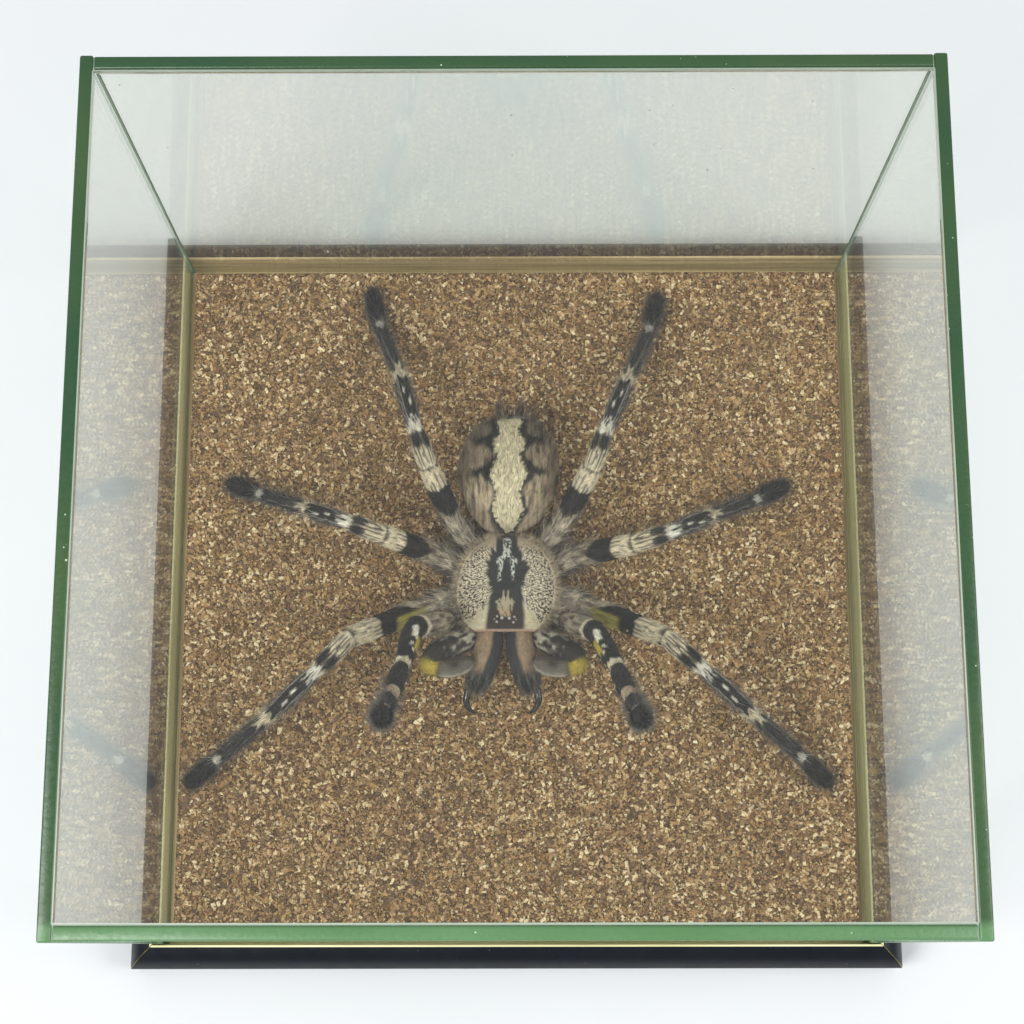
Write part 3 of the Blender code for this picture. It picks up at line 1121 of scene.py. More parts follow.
def make_fur_tree():
    """Grows short bent hairs from a skin, laid along its own flow."""
    tree, bench, start, end = shape_tree(
        "fur",
        (
            ("Hairs per square millimetre", "NodeSocketFloat", 2.0),
            ("Length", "NodeSocketFloat", 1.2 * MM),
            ("Slenderness", "NodeSocketFloat", 0.03),
            ("Lift", "NodeSocketFloat", 0.3),
            ("Ruffle", "NodeSocketFloat", 0.2),
            ("Bend", "NodeSocketFloat", 0.2),
            ("Segments", "NodeSocketInt", 1),
            ("Frost", "NodeSocketFloat", 0.0),
            ("Seed", "NodeSocketInt", 1),
            ("Amount", "NodeSocketString", "fur_amount"),
            ("Material", "NodeSocketMaterial", None),
        ),
    )
    amount = own_value(bench, start.outputs["Amount"])
    packed = bench.math("MULTIPLY", start.outputs["Hairs per square millimetre"], 1e6)
    density = bench.math("MULTIPLY", packed, amount)
    spots = bench.add(
        "GeometryNodeDistributePointsOnFaces",
        {"Mesh": start.outputs["Geometry"], "Seed": start.outputs["Seed"]},
        distribute_method="RANDOM",
    )
    bench.link(density, open_socket(spots.inputs, "Density"))
    lie = own_value(bench, "lie", "FLOAT_VECTOR")
    lock = bench.noise(bench.vector("MULTIPLY", lie, (0.3, 3.0, 1.0)), 1.0, 1.5)
    lock_shade = bench.spread(lock, 0.42, 0.58, 0.0, 0.7)
    shade = bench.math("ADD", random_value(bench, 0.0, 0.3, 21), lock_shade)
    marked = keep_value(bench, spots.outputs["Points"], "shade", shade)
    marked = keep_value(bench, marked, "frost", start.outputs["Frost"])
    flow = own_value(bench, "flow", "FLOAT_VECTOR")
    normal = spots.outputs["Normal"]
    raised = bench.scaled(normal, start.outputs["Lift"])
    loose = random_value(bench, (-1, -1, -1), (1, 1, 1), 22, "FLOAT_VECTOR")
    ruffled = bench.scaled(loose, start.outputs["Ruffle"])
    way = bench.vector("ADD", bench.vector("ADD", flow, raised), ruffled)
    turn = bench.add("FunctionNodeAlignRotationToVector", {"Vector": way}, axis="Z")
    turn = bench.add(
        "FunctionNodeAlignRotationToVector",
        {"Rotation": turn.outputs[0], "Vector": normal},
        axis="X",
        pivot_axis="Z",
    )
    strand = bench.add(
        "GeometryNodeMeshCone",
        {
            "Vertices": 3,
            "Side Segments": start.outputs["Segments"],
            "Radius Top": 0.0,
            "Radius Bottom": start.outputs["Slenderness"],
            "Depth": 1.0,
        },
        fill_type="NGON",
    )
    place = bench.add("GeometryNodeInputPosition").outputs[0]
    height = bench.add("ShaderNodeSeparateXYZ", {0: place}).outputs[2]
    square = bench.math("MULTIPLY", height, height)
    droop = bench.math("MULTIPLY", square, start.outputs["Bend"])
    droop = bench.math("MULTIPLY", droop, -1.0)
    sideways = bench.add("ShaderNodeCombineXYZ", {0: droop})
    bent = bench.add(
        "GeometryNodeSetPosition", {"Geometry": strand.outputs["Mesh"], "Offset": sideways.outputs[0]}
    )
    own_length = own_value(bench, "fur_length")
    chance = random_value(bench, 0.55, 1.1, 23)
    long = bench.math("MULTIPLY", start.outputs["Length"], own_length)
    long = bench.math("MULTIPLY", long, chance)
    planted = bench.add(
        "GeometryNodeInstanceOnPoints",
        {"Points": marked, "Instance": bent.outputs[0], "Rotation": turn.outputs[0], "Scale": long},
    )
    real = bench.add("GeometryNodeRealizeInstances", {"Geometry": planted.outputs[0]})
    finished = bench.add(
        "GeometryNodeSetMaterial", {"Geometry": real.outputs[0], "Material": start.outputs["Material"]}
    )
    bench.link(finished.outputs[0], end.inputs["Geometry"])
    return tree


FUR_TREE = make_fur_tree()


def lay_out_strands(mesh, strand, local):
    """Gives each strand its own small square of the fur's flat layout."""
    corner_points = np.empty(len(mesh.loops), np.int32)
    mesh.loops.foreach_get("vertex_index", corner_points)
    strand, local = strand[corner_points], local[corner_points]
    row = max(1, math.ceil(math.sqrt(strand.max() + 1)))
    level = np.array((0.0, 0.0, 0.0, 0.5, 0.5, 0.5, 1.0))[local]
    across = np.array((0.0, 0.5, 1.0, 0.15, 0.5, 0.85, 0.5))[local]
    flat = np.stack(
        ((strand % row + 0.15 + 0.7 * across) / row, (strand // row + 0.15 + 0.7 * level) / row), axis=-1
    )
    lay_flat(mesh, "OFBake", flat)


def grow_fur(skin, name, layers):
    """Fur on a skin, in one piece of several layers. Each layer is a dictionary of the tree's inputs."""
    gathered = bmesh.new()
    strands, places = [], []
    count = 0
    for values in layers:
        grown = grown_mesh(skin, FUR_TREE, {"Material": FUR_FIBRE, **values}, name)
        gathered.from_mesh(grown)
        each = values["Segments"] * 3 + 1
        total = len(grown.vertices)
        strands.append(np.arange(total) // each + count)
        place = np.arange(total) % each
        places.append(np.where(place == each - 1, 6, place))
        count += total // each
        bpy.data.meshes.remove(grown)
    mesh = as_mesh(gathered, name)
    lay_out_strands(mesh, np.concatenate(strands), np.concatenate(places))
    mesh.shade_smooth()
    fur = show(name, mesh, [FUR_FIBRE])
    settle(fur)


def layer(
    density, length, slenderness, lift, ruffle, bend, seed, segments=SHORT, amount="fur_amount", frost=0.0
):
    """One layer of fur: hairs to the square millimetre, length in millimetres and how they lie."""
    return {
        "Segments": segments,
        "Frost": frost,
        "Hairs per square millimetre": density,
        "Length": length * MM,
        "Slenderness": slenderness,
        "Lift": lift,
        "Ruffle": ruffle,
        "Bend": bend,
        "Seed": seed,
        "Amount": amount,
    }


# ---------------------------------------------------------------- the legs

# Each leg on the right: where it leaves the body, its five long parts and how each one
# rises and turns, in degrees. The left legs are the mirror image with their own turns.
LEGS = {
    1: {
        "coxa_angle": -35,
        "root": (15.7, -10.2, 13),
        "lengths": (25, 15, 21, 17, 12),
        "rises": (67, 42, 60, 72, 75),
        "left": (-36, -78, -81, -85, -98),
        "right": (-46, -66, -77, -81, -91),
    },
    2: {
        "coxa_angle": -12,
        "root": (19.8, -6.1, 12),
        "lengths": (27, 12, 21.5, 19, 10),
        "rises": (29, -5, -30, -26, -14),
        "left": (-27, -45, -38, -36, -39),
        "right": (-27, -41, -37, -38, -43),
    },
    3: {
        "coxa_angle": 18,
        "root": (18.3, 7.3, 11),
        "lengths": (18.5, 10, 17, 16.5, 9.5),
        "rises": (36, 0, -35, -27, -15),
        "left": (14, 20, 26, 23, 23),
        "right": (4, 18, 29, 25, 28),
    },
    4: {
        "coxa_angle": 52,
        "root": (13.5, 14.4, 11),
        "lengths": (20.5, 11, 22, 20, 11),
        "rises": (36, 5, -30, -26, -14),
        "left": (63, 71, 75, 69, 78),
        "right": (58, 70, 69, 68, 78),
    },
}
COXA_START = 10.6
COXA_START_HEIGHT = 8.2
COXA_END_HEIGHT = 9.0
# Skin radii at the start, the thickest place and the end of each long part
FEMUR_SKIN = (2.2, 2.85, 2.55)
PATELLA_SKIN = (2.4, 2.45, 1.85)
TIBIA_SKIN = (1.75, 2.1, 1.6)
METATARSUS_SKIN = (1.4, 1.5, 1.3)
TARSUS_SKIN = (1.45, 1.85, 1.45)
LEG_SKIN = (FEMUR_SKIN, PATELLA_SKIN, TIBIA_SKIN, METATARSUS_SKIN, TARSUS_SKIN)
COXA_SKIN = 2.7
LEG_SIDES = 36
LEG_STEP = 0.36
JOINT_NIP = 0.17
FEMUR, PATELLA, TIBIA, METATARSUS, TARSUS = range(5)


def leg_line(leg, side_name):
    """The leg's corner points in millimetres, from under the shield to the toe."""
    angle = math.radians(leg["coxa_angle"])
    start = np.array((COXA_START * math.cos(angle), COXA_START * math.sin(angle), COXA_START_HEIGHT))
    root = np.array(leg["root"], float)
    middle = (start + root) / 2
    middle[2] = COXA_END_HEIGHT
    points = [start, middle, root]
    place = root
    for length, rise, heading in zip(leg["lengths"], leg["rises"], leg[side_name]):
        rise, heading = math.radians(rise), math.radians(heading)
        level = math.cos(rise)
        way = np.array((level * math.cos(heading), level * math.sin(heading), math.sin(rise)))
        place = place + way * length
        points.append(place)
    return points


def leg_radius(part, share):
    """The skin's radius on a part of the leg; parts 0 and 1 are the coxa and trochanter."""
    if part < 2:
        swell = 0.3 * math.sin(math.pi * (part + share) / 2)
        return COXA_SKIN + swell
    start, thick, end = LEG_SKIN[part - 2]
    if share < 0.45:
        body = start + (thick - start) * math.sin(share / 0.45 * math.pi / 2)
    else:
        body = end + (thick - end) * math.cos((share - 0.45) / 0.55 * math.pi / 2)
    if part == 6:
        body *= 1 - 0.55 * max(0.0, share - 0.8) / 0.2 * max(0.0, share - 0.8) / 0.2
    return body


def leg_coat(number, part, share, run, lean, lengths):
    """The leg's pattern of rings and patches, as colours."""
    seed = number * 7
    jag = (
        (mottle(lean * 4.5, part * 3.1, seed=seed) - 0.5) * 1.5
        + (mottle(lean * 11, part * 2.3, seed=seed + 1) - 0.5) * 1.3
    )
    length = np.array((8.0, 8.0, *lengths))[part]
    at = share + jag * 0.55 / length
    upper = np.abs(lean)
    coat = plain_coat(run.shape, BEIGE)
    soft = 0.018

    def within(low, high):
        return smooth(low - soft, low + soft, at) * (1 - smooth(high - soft, high + soft, at))

    def ring(which, low, high, colour, amount=1.0):
        nonlocal coat
        mask = within(low, high)
        coat = paint(coat, colour, mask * (part == which + 2) * amount)

    def streak(which, low, high, where, width, colour, amount=1.0):
        nonlocal coat
        mask = within(low, high)
        wave = where + (mottle(run / 2.2, where * 5, seed=seed + 3) - 0.5) * 0.3
        mask = mask * (1 - smooth(width * 0.6, width, np.abs(lean - wave)))
        coat = paint(coat, colour, mask * (part == which + 2) * amount)

    # Coxa, trochanter and the femur's start: pale above, with dark sides and woolly streaks
    wool = mottle(lean * 4.0, run / 3.4, seed=seed + 4)
    hidden = (part < 2) | ((part == 2) & (share < (0.8 if number == 1 else 0.5)))
    coat = paint(coat, tint(214, 203, 184), (part < 2) * (1 - smooth(0.7, 1.1, upper)) * 0.8)
    coat = paint(coat, tint(214, 203, 184), hidden * smooth(0.48, 0.7, wool) * 0.8)
    coat = paint(coat, DARK_BROWN, (part < 2) * smooth(0.8, 1.25, upper) * 0.85)
    coat = paint(coat, DARK_BROWN, hidden * smooth(0.4, 0.2, wool) * 0.75)
    seam = np.minimum(share, 1 - share) * length
    coat = paint(coat, DARK_BROWN, (part < 2) * (1 - smooth(0.4, 1.2, seam)) * 0.85)
    wave = 0.045 * np.cos(lean * 4.4)
    if number == 1:
        ring(FEMUR, 0.4, 0.78, DARK_BROWN, 0.2)
        ring(FEMUR, 0.78, 0.875, CREAM)
        ring(FEMUR, 0.875, 2, BLACK)
        ring(PATELLA, -1, 0.94, BLACK)
        streak(PATELLA, 0.12, 0.42, -0.25, 0.45, WHITE)
        streak(PATELLA, 0.56, 0.64, -0.35, 0.2, WHITE)
        streak(PATELLA, 0.64, 0.72, 0.1, 0.18, WHITE)
        streak(PATELLA, 0.32, 0.66, 0.62, 0.55, YELLOW, 0.9)
        ring(PATELLA, 0.92, 2, CREAM)
        ring(TIBIA, -1, 0.12, CREAM)
        ring(TIBIA, 0.12, 0.84, BLACK)
        ring(TIBIA, 0.84, 2, tint(204, 182, 156))
    else:
        pointed = at - 0.1 * upper
        mask = smooth(0.24 - soft, 0.24 + soft, pointed) * (1 - smooth(0.68, 0.70, at)) * (part == 2)
        coat = paint(coat, BLACK, mask)
        ring(FEMUR, 0.69, 0.97, CREAM)
        for where in (-1.1, -0.55, 0.0, 0.5, 1.0):
            streak(FEMUR, 0.68, 0.84 + 0.09 * math.cos(where * 9), where, 0.1, DARK_BROWN, 0.75)
        ring(FEMUR, 0.97, 2, DARK_BROWN, 0.9)
        ring(PATELLA, -1, 0.50, CREAM)
        for where in (-1.15, -0.7, -0.25, 0.2, 0.66, 1.1):
            streak(PATELLA, 0.05, 0.6, where, 0.14, DARK_BROWN, 0.9)
        patches = (
            (1 - smooth(0.75, 1.0, np.hypot((np.abs(lean) - 0.62) / 0.62, (at - 0.66) / 0.25)))
            * (part == 3)
        )
        coat = paint(coat, BLACK, patches)
        ring(PATELLA, 0.60, 0.86, SLATE, 0.6)
        at = at + wave
        ring(PATELLA, 0.90, 2, WHITE)
        ring(TIBIA, -1, 0.05, WHITE)
        ring(TIBIA, 0.05, 0.86, BLACK)
        for where in (-0.45, 0.0, 0.4):
            streak(TIBIA, 0.0, 0.2 - 0.1 * abs(where), where, 0.12, WHITE, 0.8)
        for where in (-1.25, -0.95, 0.9, 1.25):
            streak(TIBIA, 0.0, 0.86, where, 0.1, GREY_WHITE, 0.7)
        streak(TIBIA, 0.36, 0.46, -0.12, 0.2, WHITE)
        streak(TIBIA, 0.53, 0.64, 0.36, 0.2, WHITE)
        ring(TIBIA, 0.85, 2, CREAM)
        streak(TIBIA, 0.86, 0.96, 0.0, 0.14, DARK_BROWN, 0.7)
    if number == 2:
        front = smooth(-0.1, 0.25, lean) * (1 - smooth(2.0, 2.4, lean))
        mask = smooth(0.12, 0.2, share) * (1 - smooth(0.46, 0.54, share)) * front * (part == 2)
        coat = paint(coat, tint(186, 176, 88), mask * 0.95)
    ring(METATARSUS, -1, 0.90, SLATE)
    streak(METATARSUS, -1, 0.12, 0.0, 0.7, CREAM, 0.8)
    for where in (-0.9, 0.8):
        streak(METATARSUS, 0.1, 0.7, where, 0.14, GREY_WHITE, 0.3)
    ring(METATARSUS, 0.90, 2, SLATE)
    top_patch = 1 - smooth(0.8, 1.3, upper)
    coat = paint(coat, GREY_WHITE, smooth(0.84, 0.87, at) * (part == 5) * top_patch)
    ring(TARSUS, -1, 2, BLACK)
    # Below, the long parts are duller
    dull = smooth(1.7, 2.5, upper) * (part >= 2) * (part < 5)
    return paint(coat, GREY, dull * 0.55)


def build_leg(number, side_name, side):
    leg = LEGS[number]
    corners = leg_line(leg, side_name)
    places, part, share = dense_line(corners, LEG_STEP)
    places = eased(places, 3)
    radii = np.array([leg_radius(p, s) for p, s in zip(part, share)])
    joint = np.minimum(share, 1 - share) * np.linalg.norm(np.diff(np.array(corners), axis=0), axis=1)[part]
    nip = np.where(
        (part >= 2) | ((part == 1) & (share > 0.5)), 1 - JOINT_NIP * (1 - smooth(0.0, 0.9, joint)), 1.0
    )
    radii = eased((radii * nip)[:, None], 1)[:, 0]
    rings, lie, flow, lean, run = lofted(places, radii, LEG_SIDES)
    part2 = np.broadcast_to(part[:, None], lean.shape)
    share2 = np.broadcast_to(share[:, None], lean.shape)
    run2 = np.broadcast_to(run[:, None], lean.shape)
    coat_colours = leg_coat(number, part2, share2, run2, lean, leg["lengths"])
    longer = np.where(part2 < 2, 1.7, np.where((part2 == 2) & (share2 < 0.35), 1.4, 1.0))
    toe = smooth(4.7, 5.3, part2 + share2)
    amount = np.ones(lean.shape)
    whisker = 0.8 + 0.6 * (part2 >= 4) + 2.6 * (part2 < 2) + 1.2 * ((part2 == 2) & (share2 < 0.4))
    sides = 0.3 + 0.7 * smooth(0.6, 1.5, np.abs(lean))
    brush = toe * sides * np.where(part2 == 6, 1.0, 0.3)
    outer = 0.1 + 0.9 * smooth(0.8, 1.5, np.abs(lean))
    halo = smooth(3.9, 4.9, part2 + share2) * outer * np.where(part2 >= 5, 1.0, 0.45)
    values = {
        "coat": ("FLOAT_COLOR", coat_colours),
        "flow": ("FLOAT_VECTOR", mirrored(flow, side)),
        "fur_length": ("FLOAT", longer),
        "fur_amount": ("FLOAT", amount),
        "whisker_amount": ("FLOAT", whisker),
        "brush_amount": ("FLOAT", brush),
        "halo_amount": ("FLOAT", halo),
    }
    name = f"leg_{number}_{side_name}"
    mesh = shell(name + "_skin", to_metres(rings, side), lie, values, flip=side < 0)
    skin = show(name + "_skin", mesh, [LEG_COAT])
    settle(skin, [name])
    layers = (
        layer(5.2, 1.5, 0.038, 0.26, 0.2, 0.0, number * 10 + 1),
        layer(0.6, 3.2, 0.015, 0.8, 0.5, 0.2, number * 10 + 2, LONG, "whisker_amount", 0.35),
        layer(12.0, 2.1, 0.024, 0.75, 0.4, 0.0, number * 10 + 3, SHORT, "brush_amount"),
        layer(9.0, 3.7, 0.013, 1.2, 0.55, 0.0, number * 10 + 4, SHORT, "halo_amount", 0.42),
    )
    grow_fur(skin, name + "_fur", layers)


# ---------------------------------------------------------------- the body

# How the body bends to one side along its length
LEAN_START = -0.35
LEAN_FRONT = 0.035
LEAN_REAR = 0.02


def leaned(points):
    """Sets the body's slight turn: the head a little to the left of the abdomen."""
    moved = np.array(points, float)
    y = moved[..., 1]
    moved[..., 0] += LEAN_START + np.where(y < 0, LEAN_FRONT, LEAN_REAR) * y
    return moved


SHIELD_Y = (-14.1, -13.4, -11.4, -9.8, -7.0, -3.3, 0.7, 4.7, 6.8, 8.8, 10.8, 12.2, 12.9)
SHIELD_HALF = (7.9, 8.9, 10.7, 12.1, 13.0, 13.4, 13.1, 11.9, 10.8, 9.3, 7.0, 4.2, 0.2)
SHIELD_MIDDLE_Y = -1.2
SHIELD_TURNS = 208
SHIELD_RINGS = 64
SHIELD_RISE = 7.8
RIM_HEIGHT = 12.6
BAND_Y = (-14.5, -10, -3.5, 2, 5.8, 9.5, 12.9)
BAND_HALF = (5.0, 4.9, 4.5, 6.0, 4.8, 3.3, 2.2)


def shield_outline(turns):
    """The shield's edge at each angle from its middle, as seen from above."""
    y = np.concatenate((np.array(SHIELD_Y), np.array(SHIELD_Y)[::-1]))
    x = np.concatenate((np.array(SHIELD_HALF), -np.array(SHIELD_HALF)[::-1]))
    angle = np.arctan2(x, -(y - SHIELD_MIDDLE_Y))
    reach = np.hypot(x, y - SHIELD_MIDDLE_Y)
    front_x = np.linspace(-SHIELD_HALF[0], SHIELD_HALF[0], 15)[1:-1]
    front_y = SHIELD_Y[0] + 0 * front_x
    angle = np.concatenate((angle, np.arctan2(front_x, -(front_y - SHIELD_MIDDLE_Y))))
    reach = np.concatenate((reach, np.hypot(front_x, front_y - SHIELD_MIDDLE_Y)))
    order = np.argsort(angle)
    angle, reach = angle[order], reach[order]
    angle = np.concatenate((angle - 2 * math.pi, angle, angle + 2 * math.pi))
    reach = np.tile(reach, 3)
    return np.interp(turns, angle, reach)


def shield_coat(x, y, share, angle):
    """The shield's pattern: pale and pitted sides, the dark middle band and its pale marks."""
    coat = plain_coat(x.shape, tint(238, 225, 198))
    coat = paint(coat, TAN, smooth(5.5, 9.5, y) * 0.7)
    coat = paint(coat, TAN, mottle(x / 2.5, y / 2.5, seed=31) * 0.25)
    reach = np.abs(x) - 0.55 * (y + 14)
    corner = (
        smooth(4.6, 5.2, np.abs(x)) * smooth(-7.4, -9.2, y)
        * (1 - smooth(6.9, 8.1, reach + 1.2 * (y + 11.5)))
    )
    coat = paint(coat, tint(214, 203, 166), corner * 0.7)
    coat = paint(coat, TAN, smooth(0.7, 0.95, share) * 0.2)
    ragged = (
        (mottle(angle * 14, share * 1.5, seed=32) - 0.5) * 1.7
        + (mottle(angle * 34, share * 2, seed=33) - 0.5) * 1.1
    )
    calm = 0.25 + 0.75 * smooth(-6.5, -3.5, y)
    half = np.interp(y, BAND_Y, BAND_HALF) + ragged * calm
    inner = np.abs(x)
    band = 1 - smooth(half - 0.75, half + 0.55, inner)
    coat = paint(coat, tint(44, 45, 43), band)
    coat = paint(coat, DARK_BROWN, band * smooth(-7.5, -9.5, y) * 0.8)
    grit = mottle(x * 3.6, y * 2.2, seed=34)
    stem = (1 - smooth(0.85, 1.25, inner)) * smooth(5.0, 5.6, y) * (1 - smooth(10.8, 11.6, y))
    arch = 1 - smooth(0.45, 0.95, np.abs(y - (5.2 - 0.16 * x * x)))
    arch = arch * (1 - smooth(2.4, 3.0, inner))
    lobe_x = inner - (1.45 + 0.08 * (3.9 - y))
    lobes = (1 - smooth(0.3, 0.72, np.abs(lobe_x))) * smooth(-1.7, -0.9, y) * (1 - smooth(4.2, 4.8, y))
    marks = np.maximum(np.maximum(stem, arch), lobes) * smooth(0.3, 0.62, grit)
    coat = paint(coat, tint(214, 214, 204), marks * 0.95)
    frayed = mottle(x * 4.2, y * 1.6, seed=35)
    side = 0.7 + 1.6 * smooth(-5.0, -6.8, y) - 1.35 * smooth(-7.6, -10.6, y) + (frayed - 0.5) * 0.9
    prong = np.abs(inner - 0.6)
    prongs = (1 - smooth(0.14, 0.36, prong)) * smooth(-3.4, -4.4, y) * smooth(-8.2, -6.4, y)
    points = 0.55 * np.cos(4.05 * (inner - 0.55))
    crown = (1 - smooth(side - 0.35, side + 0.35, inner)) * smooth(-5.2, -5.9, y - points)
    crown = crown * smooth(0.12, 0.45, frayed)
    trident = np.maximum(crown * 0.85, prongs * (0.5 + 0.5 * grit)) * smooth(-10.7, -9.9, y)
    coat = paint(coat, tint(194, 180, 150), trident)
    coat = paint(coat, tint(196, 150, 108), trident * smooth(-7.8, -9.6, y) * 0.55)
    rim = smooth(0.955, 0.985, share)
    coat = paint(coat, tint(206, 190, 164), rim * 0.8)
    lip = smooth(-13.4, -13.8, y)
    coat = paint(coat, ROSE_TAN, lip)
    flecked = (
        (1 - band) * (1 - corner * 0.5) * (1 - smooth(0.93, 0.98, share)) * (1 - lip)
        * (1 - 0.45 * smooth(7.5, 10.5, y))
    )
    return coat, flecked


def build_shield():
    turns = np.linspace(-math.pi, math.pi, SHIELD_TURNS + 1)
    reach = shield_outline(turns[:-1])
    shares = np.linspace(0, 1, SHIELD_RINGS + 1)[1:]
    shares = np.concatenate((shares, (0.965, 0.90, 0.83, 0.76, 0.74, 0.73, 0.62, 0.4, 0.2)))
    under = SHIELD_RINGS
    rings = []
    for number, share in enumerate(shares):
        x = np.sin(turns[:-1]) * reach * share
        y = SHIELD_MIDDLE_Y - np.cos(turns[:-1]) * reach * share
        if number < under:
            rise = SHIELD_RISE * (1 - share**3) ** 0.75
            front = smooth(-9.0, -13.5, y)
            height = RIM_HEIGHT + rise + front * 4.7 * share**3 - front * rise * 0.3
            head = np.exp(-((x / 6.0) ** 4)) * smooth(0.5, -4.0, y)
            height = height + head * 0.9 * (1 - share**6)
            for crease in (0.62, 1.08, 1.62, 2.2):
                wide = np.abs(np.abs(np.arctan2(x, -(y - 1.5))) - crease)
                depth = (
                    np.exp(-((wide / 0.07) ** 2)) * smooth(0.12, 0.4, share)
                    * (1 - smooth(0.8, 0.97, share))
                )
                height = height - 0.32 * depth
            pit = np.exp(-((x / 0.9) ** 2 + ((y - 3.0) / 1.3) ** 2))
            height = height - 0.7 * pit
            height = height + (mottle(x / 1.6, y / 1.6, seed=41) - 0.5) * 0.22
        else:
            drop = (RIM_HEIGHT - 0.35, 12.0, 11.7, 11.4, 9.2, 7.0, 5.4, 4.8, 4.6)[number - under]
            height = np.full_like(x, drop)
        rings.append(np.stack((x, y, height), axis=-1))
    rings = np.array(rings)
    angle = np.broadcast_to(turns[:-1], rings.shape[:2])
    share2 = np.broadcast_to(np.minimum(shares, 1)[:, None], rings.shape[:2])
    coat_colours, flecked = shield_coat(rings[..., 0], rings[..., 1], share2, angle)
    coat_colours[under:] = np.array(BROWN)
    flecked[under:] = 0
    away = rings - np.array((0, SHIELD_MIDDLE_Y, 18))
    away[..., 2] = -0.35 * np.abs(away[..., 2])
    away /= np.linalg.norm(away, axis=-1, keepdims=True)
    lie = np.zeros((len(shares), SHIELD_TURNS + 1, 2))
    lie[..., 0] = (shares * 13.0)[:, None]
    lie[..., 1] = turns[None, :] * 9.0
    top = (np.arange(len(shares)) < under)[:, None] * np.ones((1, SHIELD_TURNS))
    hairy = top * (0.5 + 0.5 * smooth(0.7, 1.0, share2)) * (1 - 0.7 * smooth(-11, -13, rings[..., 1]))
    beard = smooth(0.93, 1.0, share2) * (rings[..., 1] > -13.3)
    values = {
        "coat": ("FLOAT_COLOR", coat_colours),
        "flecked": ("FLOAT", flecked),
        "flow": ("FLOAT_VECTOR", away),
        "fur_length": ("FLOAT", np.ones(angle.shape)),
        "fur_amount": ("FLOAT", hairy),
        "beard_amount": ("FLOAT", beard),
    }
    mesh = shell("shield_skin", to_metres(leaned(rings)), lie, values, flip=True)
    skin = show("shield_skin", mesh, [SHIELD_COAT])
    settle(skin, ["cephalothorax"])
    layers = (
        layer(2.0, 0.7, 0.028, 0.12, 0.2, 0.0, 201),
        layer(18.0, 2.6, 0.016, 0.15, 0.6, 0.25, 202, LONG, "beard_amount"),
    )
    grow_fur(skin, "shield_fur", layers)


ABDOMEN_MIDDLE = (0, 29.0, 13)
ABDOMEN_HALF = (13.4, 16.4, 10.0)
ABDOMEN_RINGS = 104
ABDOMEN_SIDES = 150
STRIPE_Y = (12.5, 14.2, 18, 22.4, 27, 32.2, 35.7, 38.7, 41.2, 42.6, 43.4)
STRIPE_HALF = (0.0, 1.9, 4.25, 3.1, 4.85, 3.0, 4.6, 2.3, 3.0, 3.5, 2.2)


def abdomen_coat(x, y, lean):
    """The abdomen's pattern: a scalloped pale stripe between black borders, and two dark bars."""
    inner = np.abs(x)
    coat = plain_coat(x.shape, tint(148, 131, 109))
    front = 1 - smooth(24, 28.5, y)
    coat = paint(coat, tint(172, 153, 124), front * 0.8)
    coat = paint(coat, tint(128, 117, 101), smooth(36.5, 38.5, y) * 0.9)
    lines = mottle(x * 2.4, y / 3.4, seed=51)
    coat = paint(coat, DARK_BROWN, smooth(0.55, 0.8, lines) * 0.7)
    coat = paint(coat, tint(196, 182, 156), smooth(0.45, 0.15, lines) * 0.6 * (1 - smooth(36, 39, y)))
    jag = (mottle(x * 1.6, y / 1.6, seed=52) - 0.5) * 1.5
    for bar_y, reach in ((28.6, 14.0), (37.2, 13.0)):
        curve = bar_y + 0.5 * np.cos(inner / 3) + jag * 0.8
        bar = (1 - smooth(0.65, 1.5, np.abs(y - curve))) * (1 - smooth(reach - 5.5, reach - 2.0, inner))
        coat = paint(coat, tint(28, 24, 22), bar)
    edge = np.interp(y, STRIPE_Y, STRIPE_HALF)
    edge = np.where((y < STRIPE_Y[0]) | (y > STRIPE_Y[-1]), -1.0, edge)
    feather = (
        (mottle(x * 1.2, y * 2.6, seed=53) - 0.5) * 1.0
        + (mottle(x * 2.5, y * 5.0, seed=54) - 0.5) * 0.6
    )
    wide = np.interp(y, (10, 14, 20, 24, 28, 33, 37, 40, 44), (1.0, 1.7, 0.9, 0.8, 3.1, 0.9, 3.1, 2.0, 1.8))
    border = 1 - smooth(wide - 0.8, wide + 0.7, inner - edge + jag * 0.9)
    coat = paint(coat, tint(27, 24, 23), border)
    stripe = 1 - smooth(-0.22, 0.22, inner - edge + feather)
    coat = paint(coat, tint(208, 196, 164), stripe)
    flecks = smooth(0.6, 0.78, mottle(x * 3.0, y * 1.25, seed=55)) * stripe
    coat = paint(coat, tint(140, 122, 96), flecks * 0.55)
    below = smooth(1.5, 2.2, np.abs(lean))
    return paint(coat, BROWN, below * 0.7)


